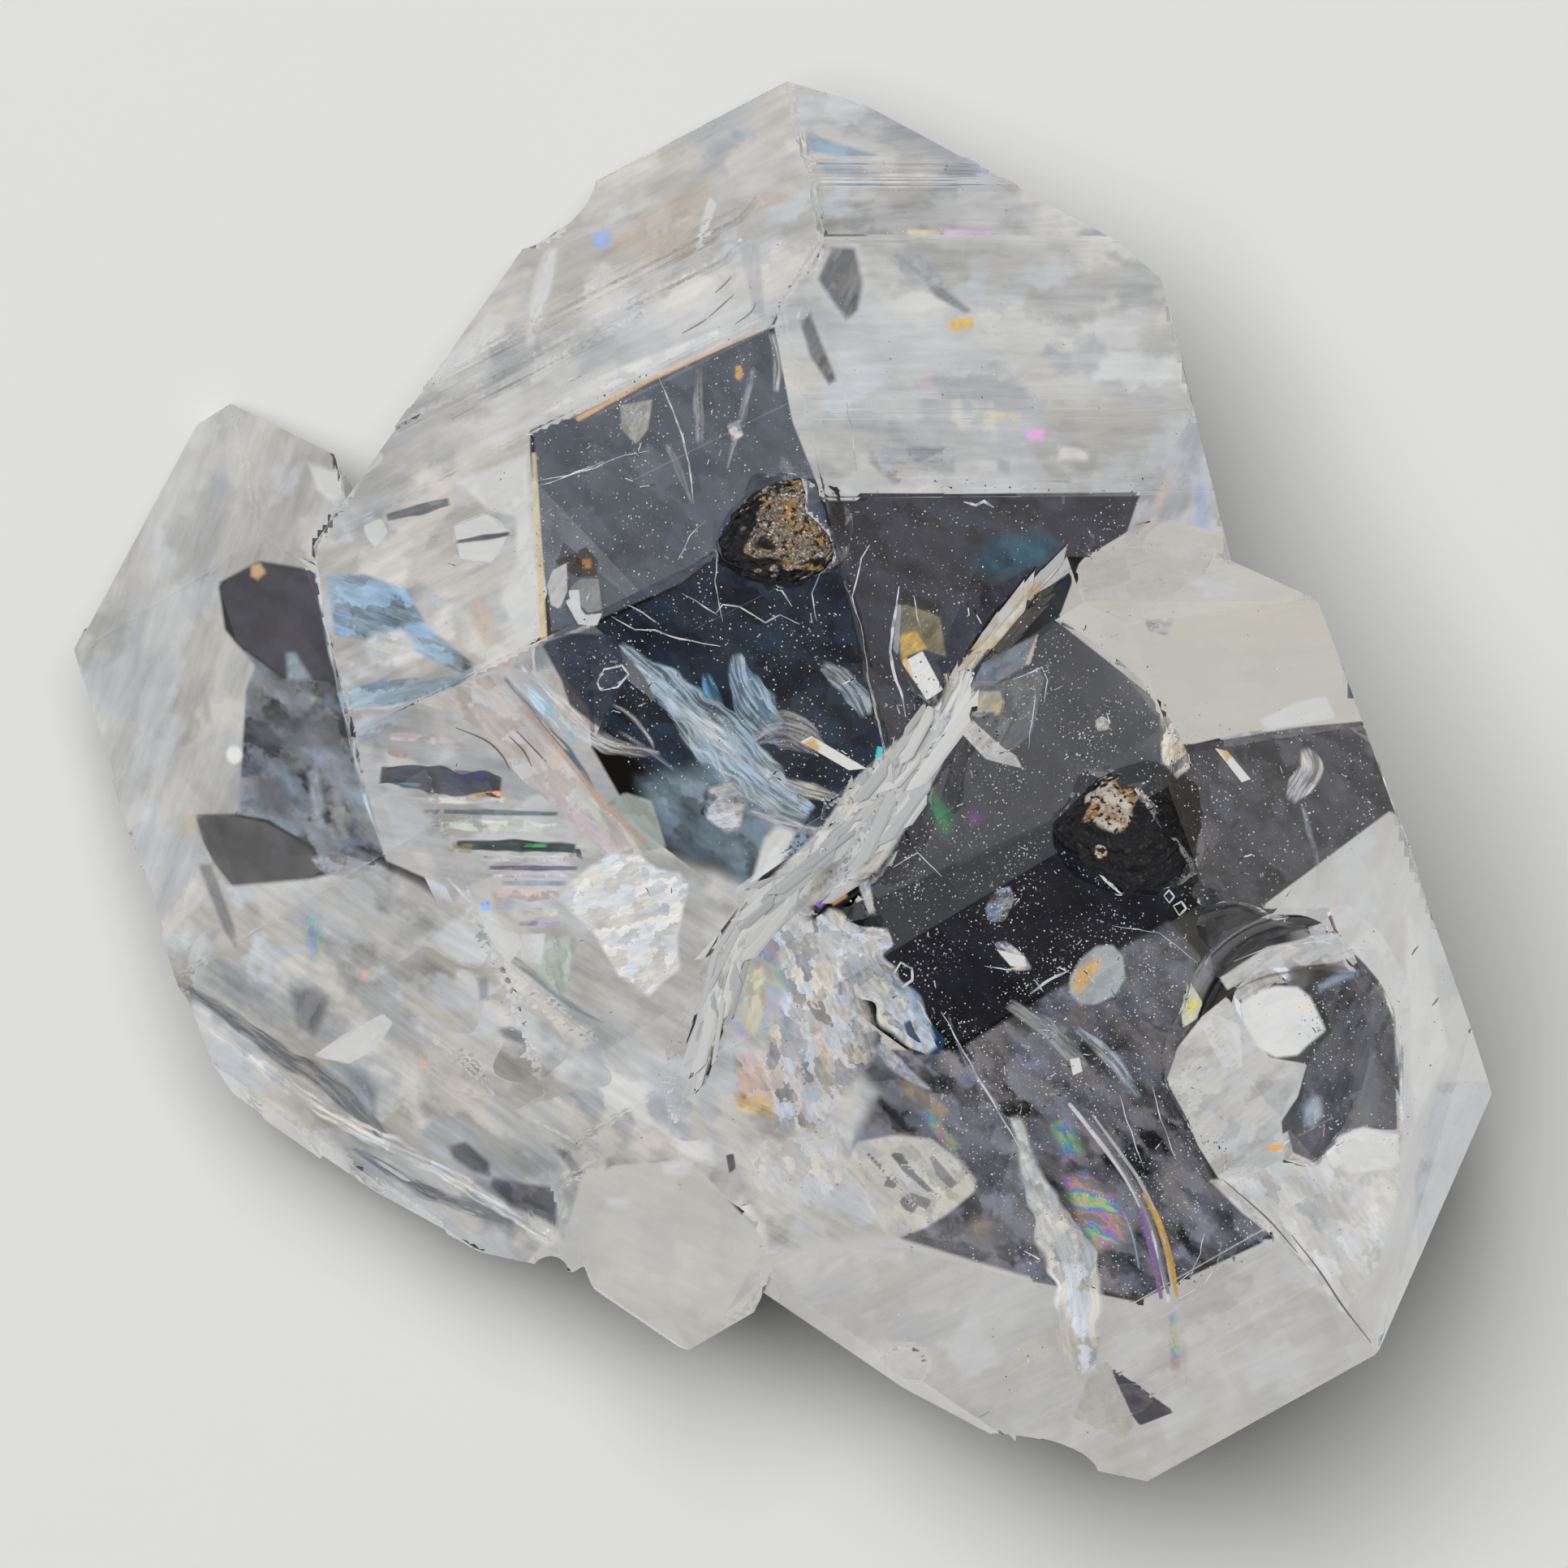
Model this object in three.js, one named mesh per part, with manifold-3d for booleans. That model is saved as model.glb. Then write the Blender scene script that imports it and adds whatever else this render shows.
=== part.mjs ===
// A herkimer diamond: a cluster of water-clear, doubly terminated quartz crystals that grew into
// each other, with two grains of black anthraxolite seated in open pits.
// Millimetres, +Z up, front is -Y. The cluster rests on three small flats at z = 0.
import * as THREE from 'three';
import { ConvexGeometry } from 'three/addons/geometries/ConvexGeometry.js';
import { mergeVertices } from 'three/addons/utils/BufferGeometryUtils.js';
import Module from 'manifold-3d';

const wasm = await Module();
wasm.setup();

// ---------------------------------------------------------------- driving dimensions

// Quartz angles: six prism faces stand round the long axis every 60 degrees, and each has one
// face at either tip, whose normal leans 51.8 degrees away from the long axis.
const SIDE_STEP = 60;
const TIP_NORMAL = 51.8;

// The rest plane takes this much off the lowest edges, which leaves the small flats. The block that
// cuts them is wider than the cluster.
const REST_CUT = 0.15;
const BLOCK = 60;

// A crystal's long axis points to its front tip: bearing is its compass angle from +X, lean its
// rise, roll the turn of the first prism face. Each list holds the distances from the centre to
// the six faces of one kind. null is a face that did not grow.
const MAIN_CRYSTAL = {
  centre: [0.2, 1.25, 8.0], bearing: -77, lean: 22, roll: -29,
  prism: [9.2, 7.15, 9.2, 5.6, 6.65, 10.25],
  frontTip: [6.75, 5.15, 8.15, null, null, 8.85],
  backTip: [11.55, 8.95, 10.5, 10.25, 8.25, 11.8],
};
const RIGHT_CRYSTAL = {
  centre: [4.7, -4.25, 9.0], bearing: -71, lean: 20.5, roll: -27.5,
  prism: [10.45, 4.95, null, 7.3, 8.6, 9.45],
  frontTip: [8.25, 4.25, 8.15, 9.9, 9.45, 10.9],
  backTip: [10.1, 6.4, 10.5, null, 9.15, 9.25],
};
const LEFT_CRYSTAL = {
  centre: [-9.8, -1.75, 5.5], bearing: -71, lean: 19, roll: -28.5,
  prism: [null, 2.95, 4.1, 4.6, 3.55, 2.8],
  frontTip: [null, 3.5, 5.45, 7.6, null, null],
  backTip: [6.8, 6.1, 7.05, null, 7.9, 7.65],
};
const FRONT_CRYSTAL = {
  centre: [-0.8, -8.25, 6.5], bearing: -71, lean: 20.5, roll: -27.5,
  prism: [null, null, 4.1, 2.45, null, null],
  frontTip: [3.05, 2.8, 4.4, null, 1.95, 1.7],
  backTip: [null, 2.75, 4.1, null, null, 0.2],
};
const LARGE_CRYSTALS = [MAIN_CRYSTAL, RIGHT_CRYSTAL, LEFT_CRYSTAL, FRONT_CRYSTAL];

// Growth terraces: low plates and shallow steps on a face. from and to run along the face
// towards the front tip, left and right are the ends across it, and count steps lie between.
const TERRACE_HEIGHT = 0.09;
const TERRACE_ROOT = 0.4;
const TERRACE_END_SLANT = 0.6;
const TERRACES = [
  { crystal: MAIN_CRYSTAL, kind: 'prism', side: 1, from: -3.2, to: -2.15, left: 9, right: -9, count: 2 },
  { crystal: MAIN_CRYSTAL, kind: 'prism', side: 1, from: -1.15, to: -0.2, left: 2.6, right: -8, count: 2 },
  { crystal: MAIN_CRYSTAL, kind: 'prism', side: 3, from: -4.5, to: 2.5, left: 5, right: -5, count: 3 },
  { crystal: MAIN_CRYSTAL, kind: 'prism', side: 6, from: -6, to: 1.5, left: 4, right: -4, count: 3 },
  { crystal: MAIN_CRYSTAL, kind: 'backTip', side: 2, from: -5.5, to: -2, left: 6, right: -4.5, count: 4 },
  { crystal: MAIN_CRYSTAL, kind: 'backTip', side: 1, from: -4.2, to: -2.4, left: 4, right: -6, count: 3 },
  { crystal: MAIN_CRYSTAL, kind: 'backTip', side: 5, from: -4, to: 3, left: 5, right: -5, count: 3 },
  { crystal: RIGHT_CRYSTAL, kind: 'frontTip', side: 2, from: 7.0, to: 9.6, left: 6, right: -4, count: 4 },
  { crystal: RIGHT_CRYSTAL, kind: 'frontTip', side: 5, from: -3, to: 4, left: 5, right: -5, count: 3 },
  { crystal: RIGHT_CRYSTAL, kind: 'prism', side: 6, from: -4, to: 3, left: 4, right: -4, count: 4 },
  { crystal: RIGHT_CRYSTAL, kind: 'backTip', side: 6, from: -2.5, to: 2, left: 3, right: -4, count: 3 },
  { crystal: LEFT_CRYSTAL, kind: 'frontTip', side: 3, from: -3, to: 8, left: 6, right: -6, count: 5 },
  { crystal: LEFT_CRYSTAL, kind: 'prism', side: 3, from: -3, to: 3, left: 3, right: -3, count: 3 },
  { crystal: LEFT_CRYSTAL, kind: 'backTip', side: 3, from: -3, to: 2.5, left: 3, right: -3, count: 3 },
];

// Small crystals that stand on the large ones: place, overall length, width and pose.
const SMALL_CRYSTALS = [
  { at: [3.15, 2.05, 14.35], length: 1.7, width: 0.75, bearing: -62, lean: 12, roll: 8 },
  { at: [4.75, 1.35, 14.25], length: 2.3, width: 1.2, bearing: -100, lean: 24, roll: 20 },
  { at: [-4.35, 4.1, 12.75], length: 1.7, width: 0.8, bearing: -112, lean: 10, roll: -12 },
  { at: [-3.6, 2.05, 12.8], length: 1.1, width: 0.5, bearing: 28, lean: 6, roll: 4 },
  { at: [-1.15, -0.75, 12.35], length: 1.2, width: 0.7, bearing: -50, lean: 20, roll: 0 },
  { at: [2.0, -3.4, 12.95], length: 1.6, width: 0.7, bearing: -75, lean: -14, roll: 15 },
  { at: [3.0, -9.1, 10.35], length: 3.0, width: 1.7, bearing: -54, lean: 16, roll: -20 },
  { at: [1.1, -7.6, 10.4], length: 2.2, width: 1.1, bearing: -84, lean: 8, roll: 10 },
  { at: [-1.9, -6.6, 10.1], length: 2.0, width: 1.0, bearing: -110, lean: 14, roll: 0 },
  { at: [-5.1, -9.6, 6.0], length: 2.2, width: 1.2, bearing: -66, lean: 4, roll: 0 },
  { at: [-7.1, -6.4, 7.6], length: 2.4, width: 1.1, bearing: -40, lean: 10, roll: 14 },
  { at: [0.4, -10.4, 6.6], length: 2.6, width: 1.5, bearing: -95, lean: 0, roll: -8 },
  { at: [9.7, 1.1, 15.7], length: 1.3, width: 0.6, bearing: -68, lean: 18, roll: 4 },
  { at: [8.9, 4.5, 8.2], length: 3.2, width: 2.2, bearing: -52, lean: 30, roll: 12 },
  { at: [9.8, 3.2, 5.8], length: 3.8, width: 2.4, bearing: -64, lean: 8, roll: -6 },
  { at: [1.6, 12.0, 5.2], length: 3.4, width: 2.2, bearing: 150, lean: 8, roll: 0 },
  { at: [-6.2, 7.6, 5.2], length: 4.2, width: 2.6, bearing: -96, lean: 14, roll: 12 },
  { at: [-7.6, 2.6, 3.4], length: 4.4, width: 2.8, bearing: -80, lean: 10, roll: 0 },
  { at: [-3.6, -5.6, 4.6], length: 4.6, width: 2.8, bearing: -76, lean: 18, roll: 8 },
  { at: [2.6, -4.6, 3.2], length: 4.0, width: 2.4, bearing: -60, lean: -20, roll: 0 },
];

// The seam where the main and the right crystal meet is a ragged comb of thin laths.
const SEAM = [
  [6.3, 4.6, 13.35], [5.2, 3.4, 13.65], [4.15, 2.1, 13.9], [3.35, 0.4, 13.95],
  [2.1, -0.9, 13.6], [0.85, -1.95, 12.75], [-0.45, -3.15, 11.7], [-1.15, -4.9, 10.9], [-1.85, -6.6, 10.4],
];
const LATHS_PER_SPAN = 3;
const LATH_WIDTH = 0.45;
const LATH_LENGTH = 3.3;
const LATH_PITCH = 0.9 * LATH_WIDTH;
const LATH_FAN = 9;

// Shell-shaped scars: an ellipsoid taken out of the surface. at is its centre, radii its half axes.
const SCARS = [
  { at: [11.2, -6.3, 16.1], radii: [2.9, 3.4, 2.7] },
  { at: [9.7, -7.3, 15.9], radii: [2.3, 2.7, 2.4] },
  { at: [10.3, -3.5, 17.6], radii: [2.0, 1.1, 2.1] },
  { at: [9.3, -2.7, 17.9], radii: [1.3, 0.7, 1.6] },
  { at: [7.6, -13.9, 10.9], radii: [0.9, 0.7, 1.3] },
  { at: [-5.0, -11.1, 6.2], radii: [0.4, 0.35, 1.6] },
  { at: [-14.2, 6.9, 4.6], radii: [1.0, 0.8, 1.4] },
  { at: [2.9, -13.0, 8.2], radii: [0.5, 0.45, 1.5] },
  { at: [5.1, -15.4, 8.2], radii: [2.1, 0.85, 1.9] },
  { at: [12.9, 3.9, 7.0], radii: [1.2, 2.0, 2.0] },
  { at: [-5.9, 13.7, 2.8], radii: [1.9, 1.9, 2.6] },
];
const SCAR_DETAIL_PER_MM = 2.2;

// Anthraxolite grains: centre, half axes, and the seed of their lumps. Each lies in a pit of its
// own shape, larger by the gap.
const GRAIN_GAP = 0.3;
const GRAIN_DETAIL = 3;
const GRAIN_LUMPS = 0.16;
const GRAINS = {
  anthraxolite_grain_upper: { at: [0.1, 5.2, 15.55], radii: [1.15, 1.0, 0.62], seed: 1.7 },
  anthraxolite_grain_lower: { at: [7.45, -1.3, 16.25], radii: [1.35, 1.1, 0.62], seed: 4.2 },
};

// ---------------------------------------------------------------- helpers

const rad = THREE.MathUtils.degToRad;
const deg = THREE.MathUtils.radToDeg;

// Closer than this, two points are one, and a point counts as lying on a plane.
const SAME_POINT = 1e-3;
const ON_PLANE = 1e-5;
// Three unit normals that span less than this have no firm meeting point.
const LEAST_SPAN = 1e-4;

// A closed geometry as a solid for joins and cuts: shared vertices are merged first.
function toSolid(geometry) {
  const bare = geometry.clone();
  bare.deleteAttribute('normal');
  bare.deleteAttribute('uv');
  const merged = mergeVertices(bare.index ? bare.toNonIndexed() : bare, ON_PLANE);
  return new wasm.Manifold(new wasm.Mesh({
    numProp: 3,
    vertProperties: new Float32Array(merged.attributes.position.array),
    triVerts: new Uint32Array(merged.index.array),
  }));
}

function toGeometry(solid) {
  const mesh = solid.getMesh();
  const geometry = new THREE.BufferGeometry();
  geometry.setAttribute('position', new THREE.BufferAttribute(mesh.vertProperties, 3));
  geometry.setIndex(new THREE.BufferAttribute(mesh.triVerts, 1));
  geometry.computeVertexNormals();
  return geometry;
}

const joinAll = (solids) => solids.reduce((whole, next) => whole.add(next));

// The outer shell alone: a hollow that joins have closed in is filled, a loose splinter goes.
function outerShell(solid) {
  return solid.decompose().reduce((most, next) => (next.volume() > most.volume() ? next : most));
}

// ---------------------------------------------------------------- crystal form

// The long axis of a crystal, and the normal of one of its faces, sides counted from 1.
function longAxis({ bearing, lean }) {
  const flat = Math.cos(rad(lean));
  return new THREE.Vector3(
    flat * Math.cos(rad(bearing)), flat * Math.sin(rad(bearing)), Math.sin(rad(lean)));
}

function faceNormal(crystal, kind, side) {
  const axis = longAxis(crystal);
  const top = new THREE.Vector3(0, 0, 1).addScaledVector(axis, -axis.z).normalize();
  const across = new THREE.Vector3().crossVectors(axis, top);
  const turn = rad(crystal.roll + SIDE_STEP * (side - 1));
  const outward = top.multiplyScalar(Math.cos(turn)).addScaledVector(across, Math.sin(turn));
  if (kind === 'prism') return outward;
  const along = Math.cos(rad(TIP_NORMAL)) * (kind === 'frontTip' ? 1 : -1);
  return outward.multiplyScalar(Math.sin(rad(TIP_NORMAL))).addScaledVector(axis, along);
}

function facePlanes(crystal) {
  return ['prism', 'frontTip', 'backTip'].flatMap((kind) => crystal[kind]
    .map((distance, index) => ({ normal: faceNormal(crystal, kind, index + 1), distance }))
    .filter((plane) => plane.distance !== null));
}

// The point where three planes meet, or null where they are close to parallel.
function meetingPoint(a, b, c) {
  const bc = new THREE.Vector3().crossVectors(b.normal, c.normal);
  const span = a.normal.dot(bc);
  if (Math.abs(span) < LEAST_SPAN) return null;
  return bc.multiplyScalar(a.distance)
    .addScaledVector(new THREE.Vector3().crossVectors(c.normal, a.normal), b.distance)
    .addScaledVector(new THREE.Vector3().crossVectors(a.normal, b.normal), c.distance)
    .divideScalar(span);
}

// A crystal is the space behind all of its faces: its corners are the meeting points of three
// faces that no other face cuts off.
function crystalSolid(crystal) {
  const planes = facePlanes(crystal);
  const corners = [];
  for (let i = 0; i < planes.length; i += 1) {
    for (let j = i + 1; j < planes.length; j += 1) {
      for (let k = j + 1; k < planes.length; k += 1) {
        const point = meetingPoint(planes[i], planes[j], planes[k]);
        const inside = point && planes.every(
          ({ normal, distance }) => normal.dot(point) <= distance + ON_PLANE);
        if (inside && corners.every((corner) => corner.distanceTo(point) > SAME_POINT)) {
          corners.push(point);
        }
      }
    }
  }
  const centre = new THREE.Vector3(...crystal.centre);
  return toSolid(new ConvexGeometry(corners.map((corner) => corner.add(centre))));
}

// A small doubly terminated crystal of even growth.
function smallCrystal({ at, length, width, bearing, lean, roll }) {
  const tip = Math.cos(rad(TIP_NORMAL)) * length / 2;
  return crystalSolid({
    centre: at, bearing, lean, roll,
    prism: Array(6).fill(width / 2), frontTip: Array(6).fill(tip), backTip: Array(6).fill(tip),
  });
}

// ---------------------------------------------------------------- growth terraces

// Axes on a face: across runs level over it, along climbs towards the front tip, out leaves it.
function faceAxes(crystal, kind, side) {
  const out = faceNormal(crystal, kind, side);
  const across = new THREE.Vector3().crossVectors(longAxis(crystal), out).normalize();
  const along = new THREE.Vector3().crossVectors(out, across);
  const origin = new THREE.Vector3(...crystal.centre).addScaledVector(out, crystal[kind][side - 1]);
  return new THREE.Matrix4().makeBasis(across, along, out).setPosition(origin);
}

// A plate with slanted ends, sunk under the face and standing height above it.
function plate(near, far, left, right, height) {
  const slant = (far - near) * TERRACE_END_SLANT;
  const shape = new THREE.Shape([
    new THREE.Vector2(right, near), new THREE.Vector2(left, near),
    new THREE.Vector2(left - slant, far), new THREE.Vector2(right + slant, far),
  ]);
  const depth = TERRACE_ROOT + height;
  return new THREE.ExtrudeGeometry(shape, { depth, bevelEnabled: false }).translate(0, 0, -TERRACE_ROOT);
}

// Plates across a face, each ended by the planes of the faces beside it, as growth ends them.
// Sine waves of the plate's number vary their places, widths and heights.
function terraces({ crystal, kind, side, from, to, left, right, count }) {
  const raised = { ...crystal, [kind]: [...crystal[kind]] };
  raised[kind][side - 1] += TERRACE_HEIGHT;
  const room = crystalSolid(raised);
  const place = faceAxes(crystal, kind, side);
  const pitch = (to - from) / count;
  return Array.from({ length: count }, (_, index) => {
    const near = from + pitch * (index + 0.18 * Math.sin(5 * index));
    const far = near + pitch * (0.45 + 0.2 * Math.cos(3 * index));
    const inset = (left - right) * 0.12 * (1 + Math.sin(4 * index + side));
    const height = TERRACE_HEIGHT * (0.6 + 0.4 * Math.abs(Math.sin(2 * index + 1)));
    const blank = plate(near, far, left - inset, right + inset * (index % 2), height);
    return toSolid(blank.applyMatrix4(place)).intersect(room);
  });
}

// ---------------------------------------------------------------- seam laths

// Laths lie along each span of the seam, staggered and fanned a little to either side.
function seamLaths() {
  const laths = [];
  for (let span = 0; span + 1 < SEAM.length; span += 1) {
    const start = new THREE.Vector3(...SEAM[span]);
    const way = new THREE.Vector3(...SEAM[span + 1]).sub(start);
    const bearing = deg(Math.atan2(way.y, way.x));
    const lean = deg(Math.asin(way.z / way.length()));
    const aside = new THREE.Vector3(-way.y, way.x, 0).normalize();
    for (let index = 0; index < LATHS_PER_SPAN; index += 1) {
      const spread = index - (LATHS_PER_SPAN - 1) / 2;
      const wave = Math.sin(7 * span + 3 * index);
      const at = start.clone().addScaledVector(way, 0.35 + 0.3 * index / LATHS_PER_SPAN)
        .addScaledVector(aside, spread * LATH_PITCH);
      laths.push(smallCrystal({
        at: at.toArray(),
        length: LATH_LENGTH * (1 + 0.3 * wave),
        width: LATH_WIDTH * (1 + 0.25 * wave),
        bearing: bearing + LATH_FAN * spread,
        lean: lean + 5 * wave,
        roll: 20 * span,
      }));
    }
  }
  return laths;
}

// ---------------------------------------------------------------- scars and grains

function scar({ at, radii }) {
  const detail = Math.round(SCAR_DETAIL_PER_MM * Math.max(...radii));
  const geometry = new THREE.IcosahedronGeometry(1, detail);
  return toSolid(geometry.scale(...radii).translate(...at));
}

// A lumpy grain: an icosphere whose points move in and out by a few sine waves.
function grainGeometry({ at, radii, seed }, grow) {
  const geometry = new THREE.IcosahedronGeometry(1, GRAIN_DETAIL);
  const point = new THREE.Vector3();
  const places = geometry.attributes.position;
  for (let index = 0; index < places.count; index += 1) {
    point.fromBufferAttribute(places, index).normalize();
    const broad = Math.sin(5 * point.x + seed) * Math.cos(4 * point.y - seed);
    const fine = 0.5 * Math.sin(9 * point.z + 7 * point.x);
    const reach = 1 + GRAIN_LUMPS * (broad + fine);
    const moved = radii.map((radius, axis) => (radius * reach + grow) * point.getComponent(axis));
    places.setXYZ(index, ...moved);
  }
  return geometry.translate(...at);
}

// ---------------------------------------------------------------- assembly

function clusterGeometry() {
  const grown = joinAll([
    ...LARGE_CRYSTALS.map(crystalSolid),
    ...SMALL_CRYSTALS.map(smallCrystal),
    ...TERRACES.flatMap(terraces),
    ...seamLaths(),
  ]);
  const cuts = joinAll([
    ...SCARS.map(scar),
    ...Object.values(GRAINS).map((grain) => toSolid(grainGeometry(grain, GRAIN_GAP))),
    toSolid(new THREE.BoxGeometry(BLOCK, BLOCK, BLOCK).translate(0, 0, REST_CUT - BLOCK / 2)),
  ]);
  return toGeometry(outerShell(outerShell(grown).subtract(cuts)));
}

const clearQuartz = new THREE.MeshStandardMaterial({
  name: 'clear quartz', color: 0xe9eef2, roughness: 0.03, metalness: 0,
});
const anthraxolite = new THREE.MeshStandardMaterial({
  name: 'anthraxolite', color: 0x1d1916, roughness: 0.5, metalness: 0,
});

function namedMesh(name, geometry, material) {
  const mesh = new THREE.Mesh(geometry, material);
  mesh.name = name;
  return mesh;
}

const herkimer = new THREE.Group();
herkimer.add(namedMesh('crystal_cluster', clusterGeometry(), clearQuartz));
for (const [name, grain] of Object.entries(GRAINS)) {
  herkimer.add(namedMesh(name, toGeometry(toSolid(grainGeometry(grain, 0))), anthraxolite));
}

// The origin is the middle of the base: the box is centred over it and stands on z = 0.
const box = new THREE.Box3().setFromObject(herkimer, true);
const middle = box.getCenter(new THREE.Vector3());
herkimer.position.set(-middle.x, -middle.y, -box.min.z);
herkimer.updateMatrixWorld(true);

export default herkimer;
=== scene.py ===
"""A herkimer diamond: a clear, intergrown quartz cluster with two anthraxolite grains."""
import math
import random

import bmesh
import bpy
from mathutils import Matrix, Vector, noise
from mathutils.bvhtree import BVHTree


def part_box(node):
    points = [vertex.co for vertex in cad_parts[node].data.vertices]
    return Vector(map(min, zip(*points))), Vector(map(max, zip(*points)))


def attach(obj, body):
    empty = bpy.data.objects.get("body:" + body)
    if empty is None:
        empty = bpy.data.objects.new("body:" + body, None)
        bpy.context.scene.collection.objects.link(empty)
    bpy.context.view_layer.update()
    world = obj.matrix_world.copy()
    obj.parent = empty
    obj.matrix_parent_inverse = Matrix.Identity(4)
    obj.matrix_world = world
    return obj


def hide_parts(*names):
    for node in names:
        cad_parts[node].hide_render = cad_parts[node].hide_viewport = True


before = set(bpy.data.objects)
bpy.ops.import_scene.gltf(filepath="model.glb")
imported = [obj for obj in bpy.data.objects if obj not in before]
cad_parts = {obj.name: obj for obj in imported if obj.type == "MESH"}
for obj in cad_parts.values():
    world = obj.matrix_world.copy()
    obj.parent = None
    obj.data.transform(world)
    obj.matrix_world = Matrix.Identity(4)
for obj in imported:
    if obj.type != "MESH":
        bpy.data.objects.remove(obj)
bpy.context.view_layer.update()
MM = 0.001
scene = bpy.context.scene

# ------------------------------------------------------------------ camera
# The cluster is looked at from straight above, from far off with a long lens, so
# that its facets keep nearly their true proportions.
FRAME_WIDTH = 33.31 * MM
FRAME_MIDDLE = (0.16 * MM, -0.19 * MM)
SENSOR = 36.0
CAMERA_RISE = 220.0 * MM
SHARP_HEIGHT = 16.35 * MM


def add_object(name, data):
    """Puts a new object with this data into the scene."""
    made = bpy.data.objects.new(name, data)
    scene.collection.objects.link(made)
    return made


camera = add_object("camera", bpy.data.cameras.new("camera"))
camera.data.sensor_width = SENSOR
camera.data.lens = SENSOR * CAMERA_RISE / FRAME_WIDTH
camera.data.clip_start = 0.01
camera.data.clip_end = 5.0
camera.location = (*FRAME_MIDDLE, SHARP_HEIGHT + CAMERA_RISE)
scene.camera = camera

# ------------------------------------------------------------------ studio
# A pale matt table with no edge in sight, one large soft box over it, and a pale room
# whose walls are a little darker at the front left, so that the facets differ in tone.
TABLE_REACH = 0.8
TABLE_CORNERS = ((-1, -1), (1, -1), (1, 1), (-1, 1))


def new_material(name, looks):
    """A new material with these values on its surface shader, its node tree and the shader."""
    material = bpy.data.materials.new(name)
    material.use_nodes = True
    tree = material.node_tree
    shader = tree.nodes["Principled BSDF"]
    for socket, value in looks.items():
        shader.inputs[socket].default_value = value
    return material, tree, shader


table_mesh = bpy.data.meshes.new("table")
table_mesh.from_pydata([(x * TABLE_REACH, y * TABLE_REACH, 0) for x, y in TABLE_CORNERS], [], [(0, 1, 2, 3)])
table = add_object("table", table_mesh)
table_paint, _, _ = new_material("pale table", {
    "Base Color": (0.80, 0.80, 0.79, 1), "Roughness": 0.9, "Specular IOR Level": 0.1})
table_mesh.materials.append(table_paint)


def put(tree, kind, inputs=None, **settings):
    """Adds a node. An input is a value, or the output socket that feeds it."""
    made = tree.nodes.new(kind)
    for name, value in settings.items():
        setattr(made, name, value)
    for name, value in (inputs or {}).items():
        if isinstance(value, bpy.types.NodeSocket):
            tree.links.new(value, made.inputs[name])
        else:
            made.inputs[name].default_value = value
    return made


def ramp(tree, value, low, high, to_low=0.0, to_high=1.0):
    """Maps low..high softly to to_low..to_high."""
    inputs = {"Value": value, "From Min": low, "From Max": high, "To Min": to_low, "To Max": to_high}
    return put(tree, "ShaderNodeMapRange", inputs, interpolation_type="SMOOTHSTEP").outputs["Result"]


def times(tree, first, second):
    return put(tree, "ShaderNodeMath", {0: first, 1: second}, operation="MULTIPLY").outputs[0]


def plus(tree, first, second):
    return put(tree, "ShaderNodeMath", {0: first, 1: second}, operation="ADD").outputs[0]


def blend(tree, factor, first, second):
    """Mixes two colours."""
    inputs = {"Factor": factor, "A": first, "B": second}
    mixer = put(tree, "ShaderNodeMix", data_type="RGBA")
    for name, value in inputs.items():
        socket = next(s for s in mixer.inputs if s.name == name and s.type in ("RGBA", "VALUE")
                      and (name == "Factor") == (s.type == "VALUE"))
        if isinstance(value, bpy.types.NodeSocket):
            tree.links.new(value, socket)
        else:
            socket.default_value = value
    return next(s for s in mixer.outputs if s.type == "RGBA")


ROOM_LIGHT = 0.80
DIMMEST_WALL = 0.72
DARK_CORNER = (-0.552, -0.692, 0.467)
CORNER_SHADE = 0.22
BRIGHT_WALL = (-0.913, 0.313, 0.264)
BRIGHT_GAIN = 0.35
COOL_PAINT = (0.78, 0.84, 0.92, 1)
WARM_PAINT = (0.90, 0.86, 0.80, 1)
BACKDROP = (0.86, 0.86, 0.85, 1)
room = bpy.data.worlds.new("pale room")
scene.world = room
room.use_nodes = True
walls = room.node_tree
facing = put(walls, "ShaderNodeTexCoord").outputs["Generated"]
patches = put(walls, "ShaderNodeTexNoise", {"Vector": facing, "Scale": 2.1, "Detail": 2.0})
tints = put(walls, "ShaderNodeTexNoise", {"Vector": facing, "Scale": 1.3, "Detail": 1.0})
dark = put(walls, "ShaderNodeVectorMath", {0: facing, 1: DARK_CORNER}, operation="DOT_PRODUCT")
bright = put(walls, "ShaderNodeVectorMath", {0: facing, 1: BRIGHT_WALL}, operation="DOT_PRODUCT")
level = ramp(walls, patches.outputs["Fac"], 0.35, 0.65, DIMMEST_WALL, 1.0)
level = times(walls, level, ramp(walls, dark.outputs["Value"], 0.82, 0.97, 1.0, CORNER_SHADE))
level = plus(walls, level, ramp(walls, bright.outputs["Value"], 0.90, 0.99, 0.0, BRIGHT_GAIN))
paint = blend(walls, ramp(walls, tints.outputs["Fac"], 0.38, 0.62), COOL_PAINT, WARM_PAINT)
seen = put(walls, "ShaderNodeLightPath").outputs["Is Camera Ray"]
paint = blend(walls, seen, paint, BACKDROP)
background = walls.nodes["Background"]
walls.links.new(paint, background.inputs["Color"])
walls.links.new(times(walls, level, ROOM_LIGHT), background.inputs["Strength"])
room.cycles_visibility.diffuse = False

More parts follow.
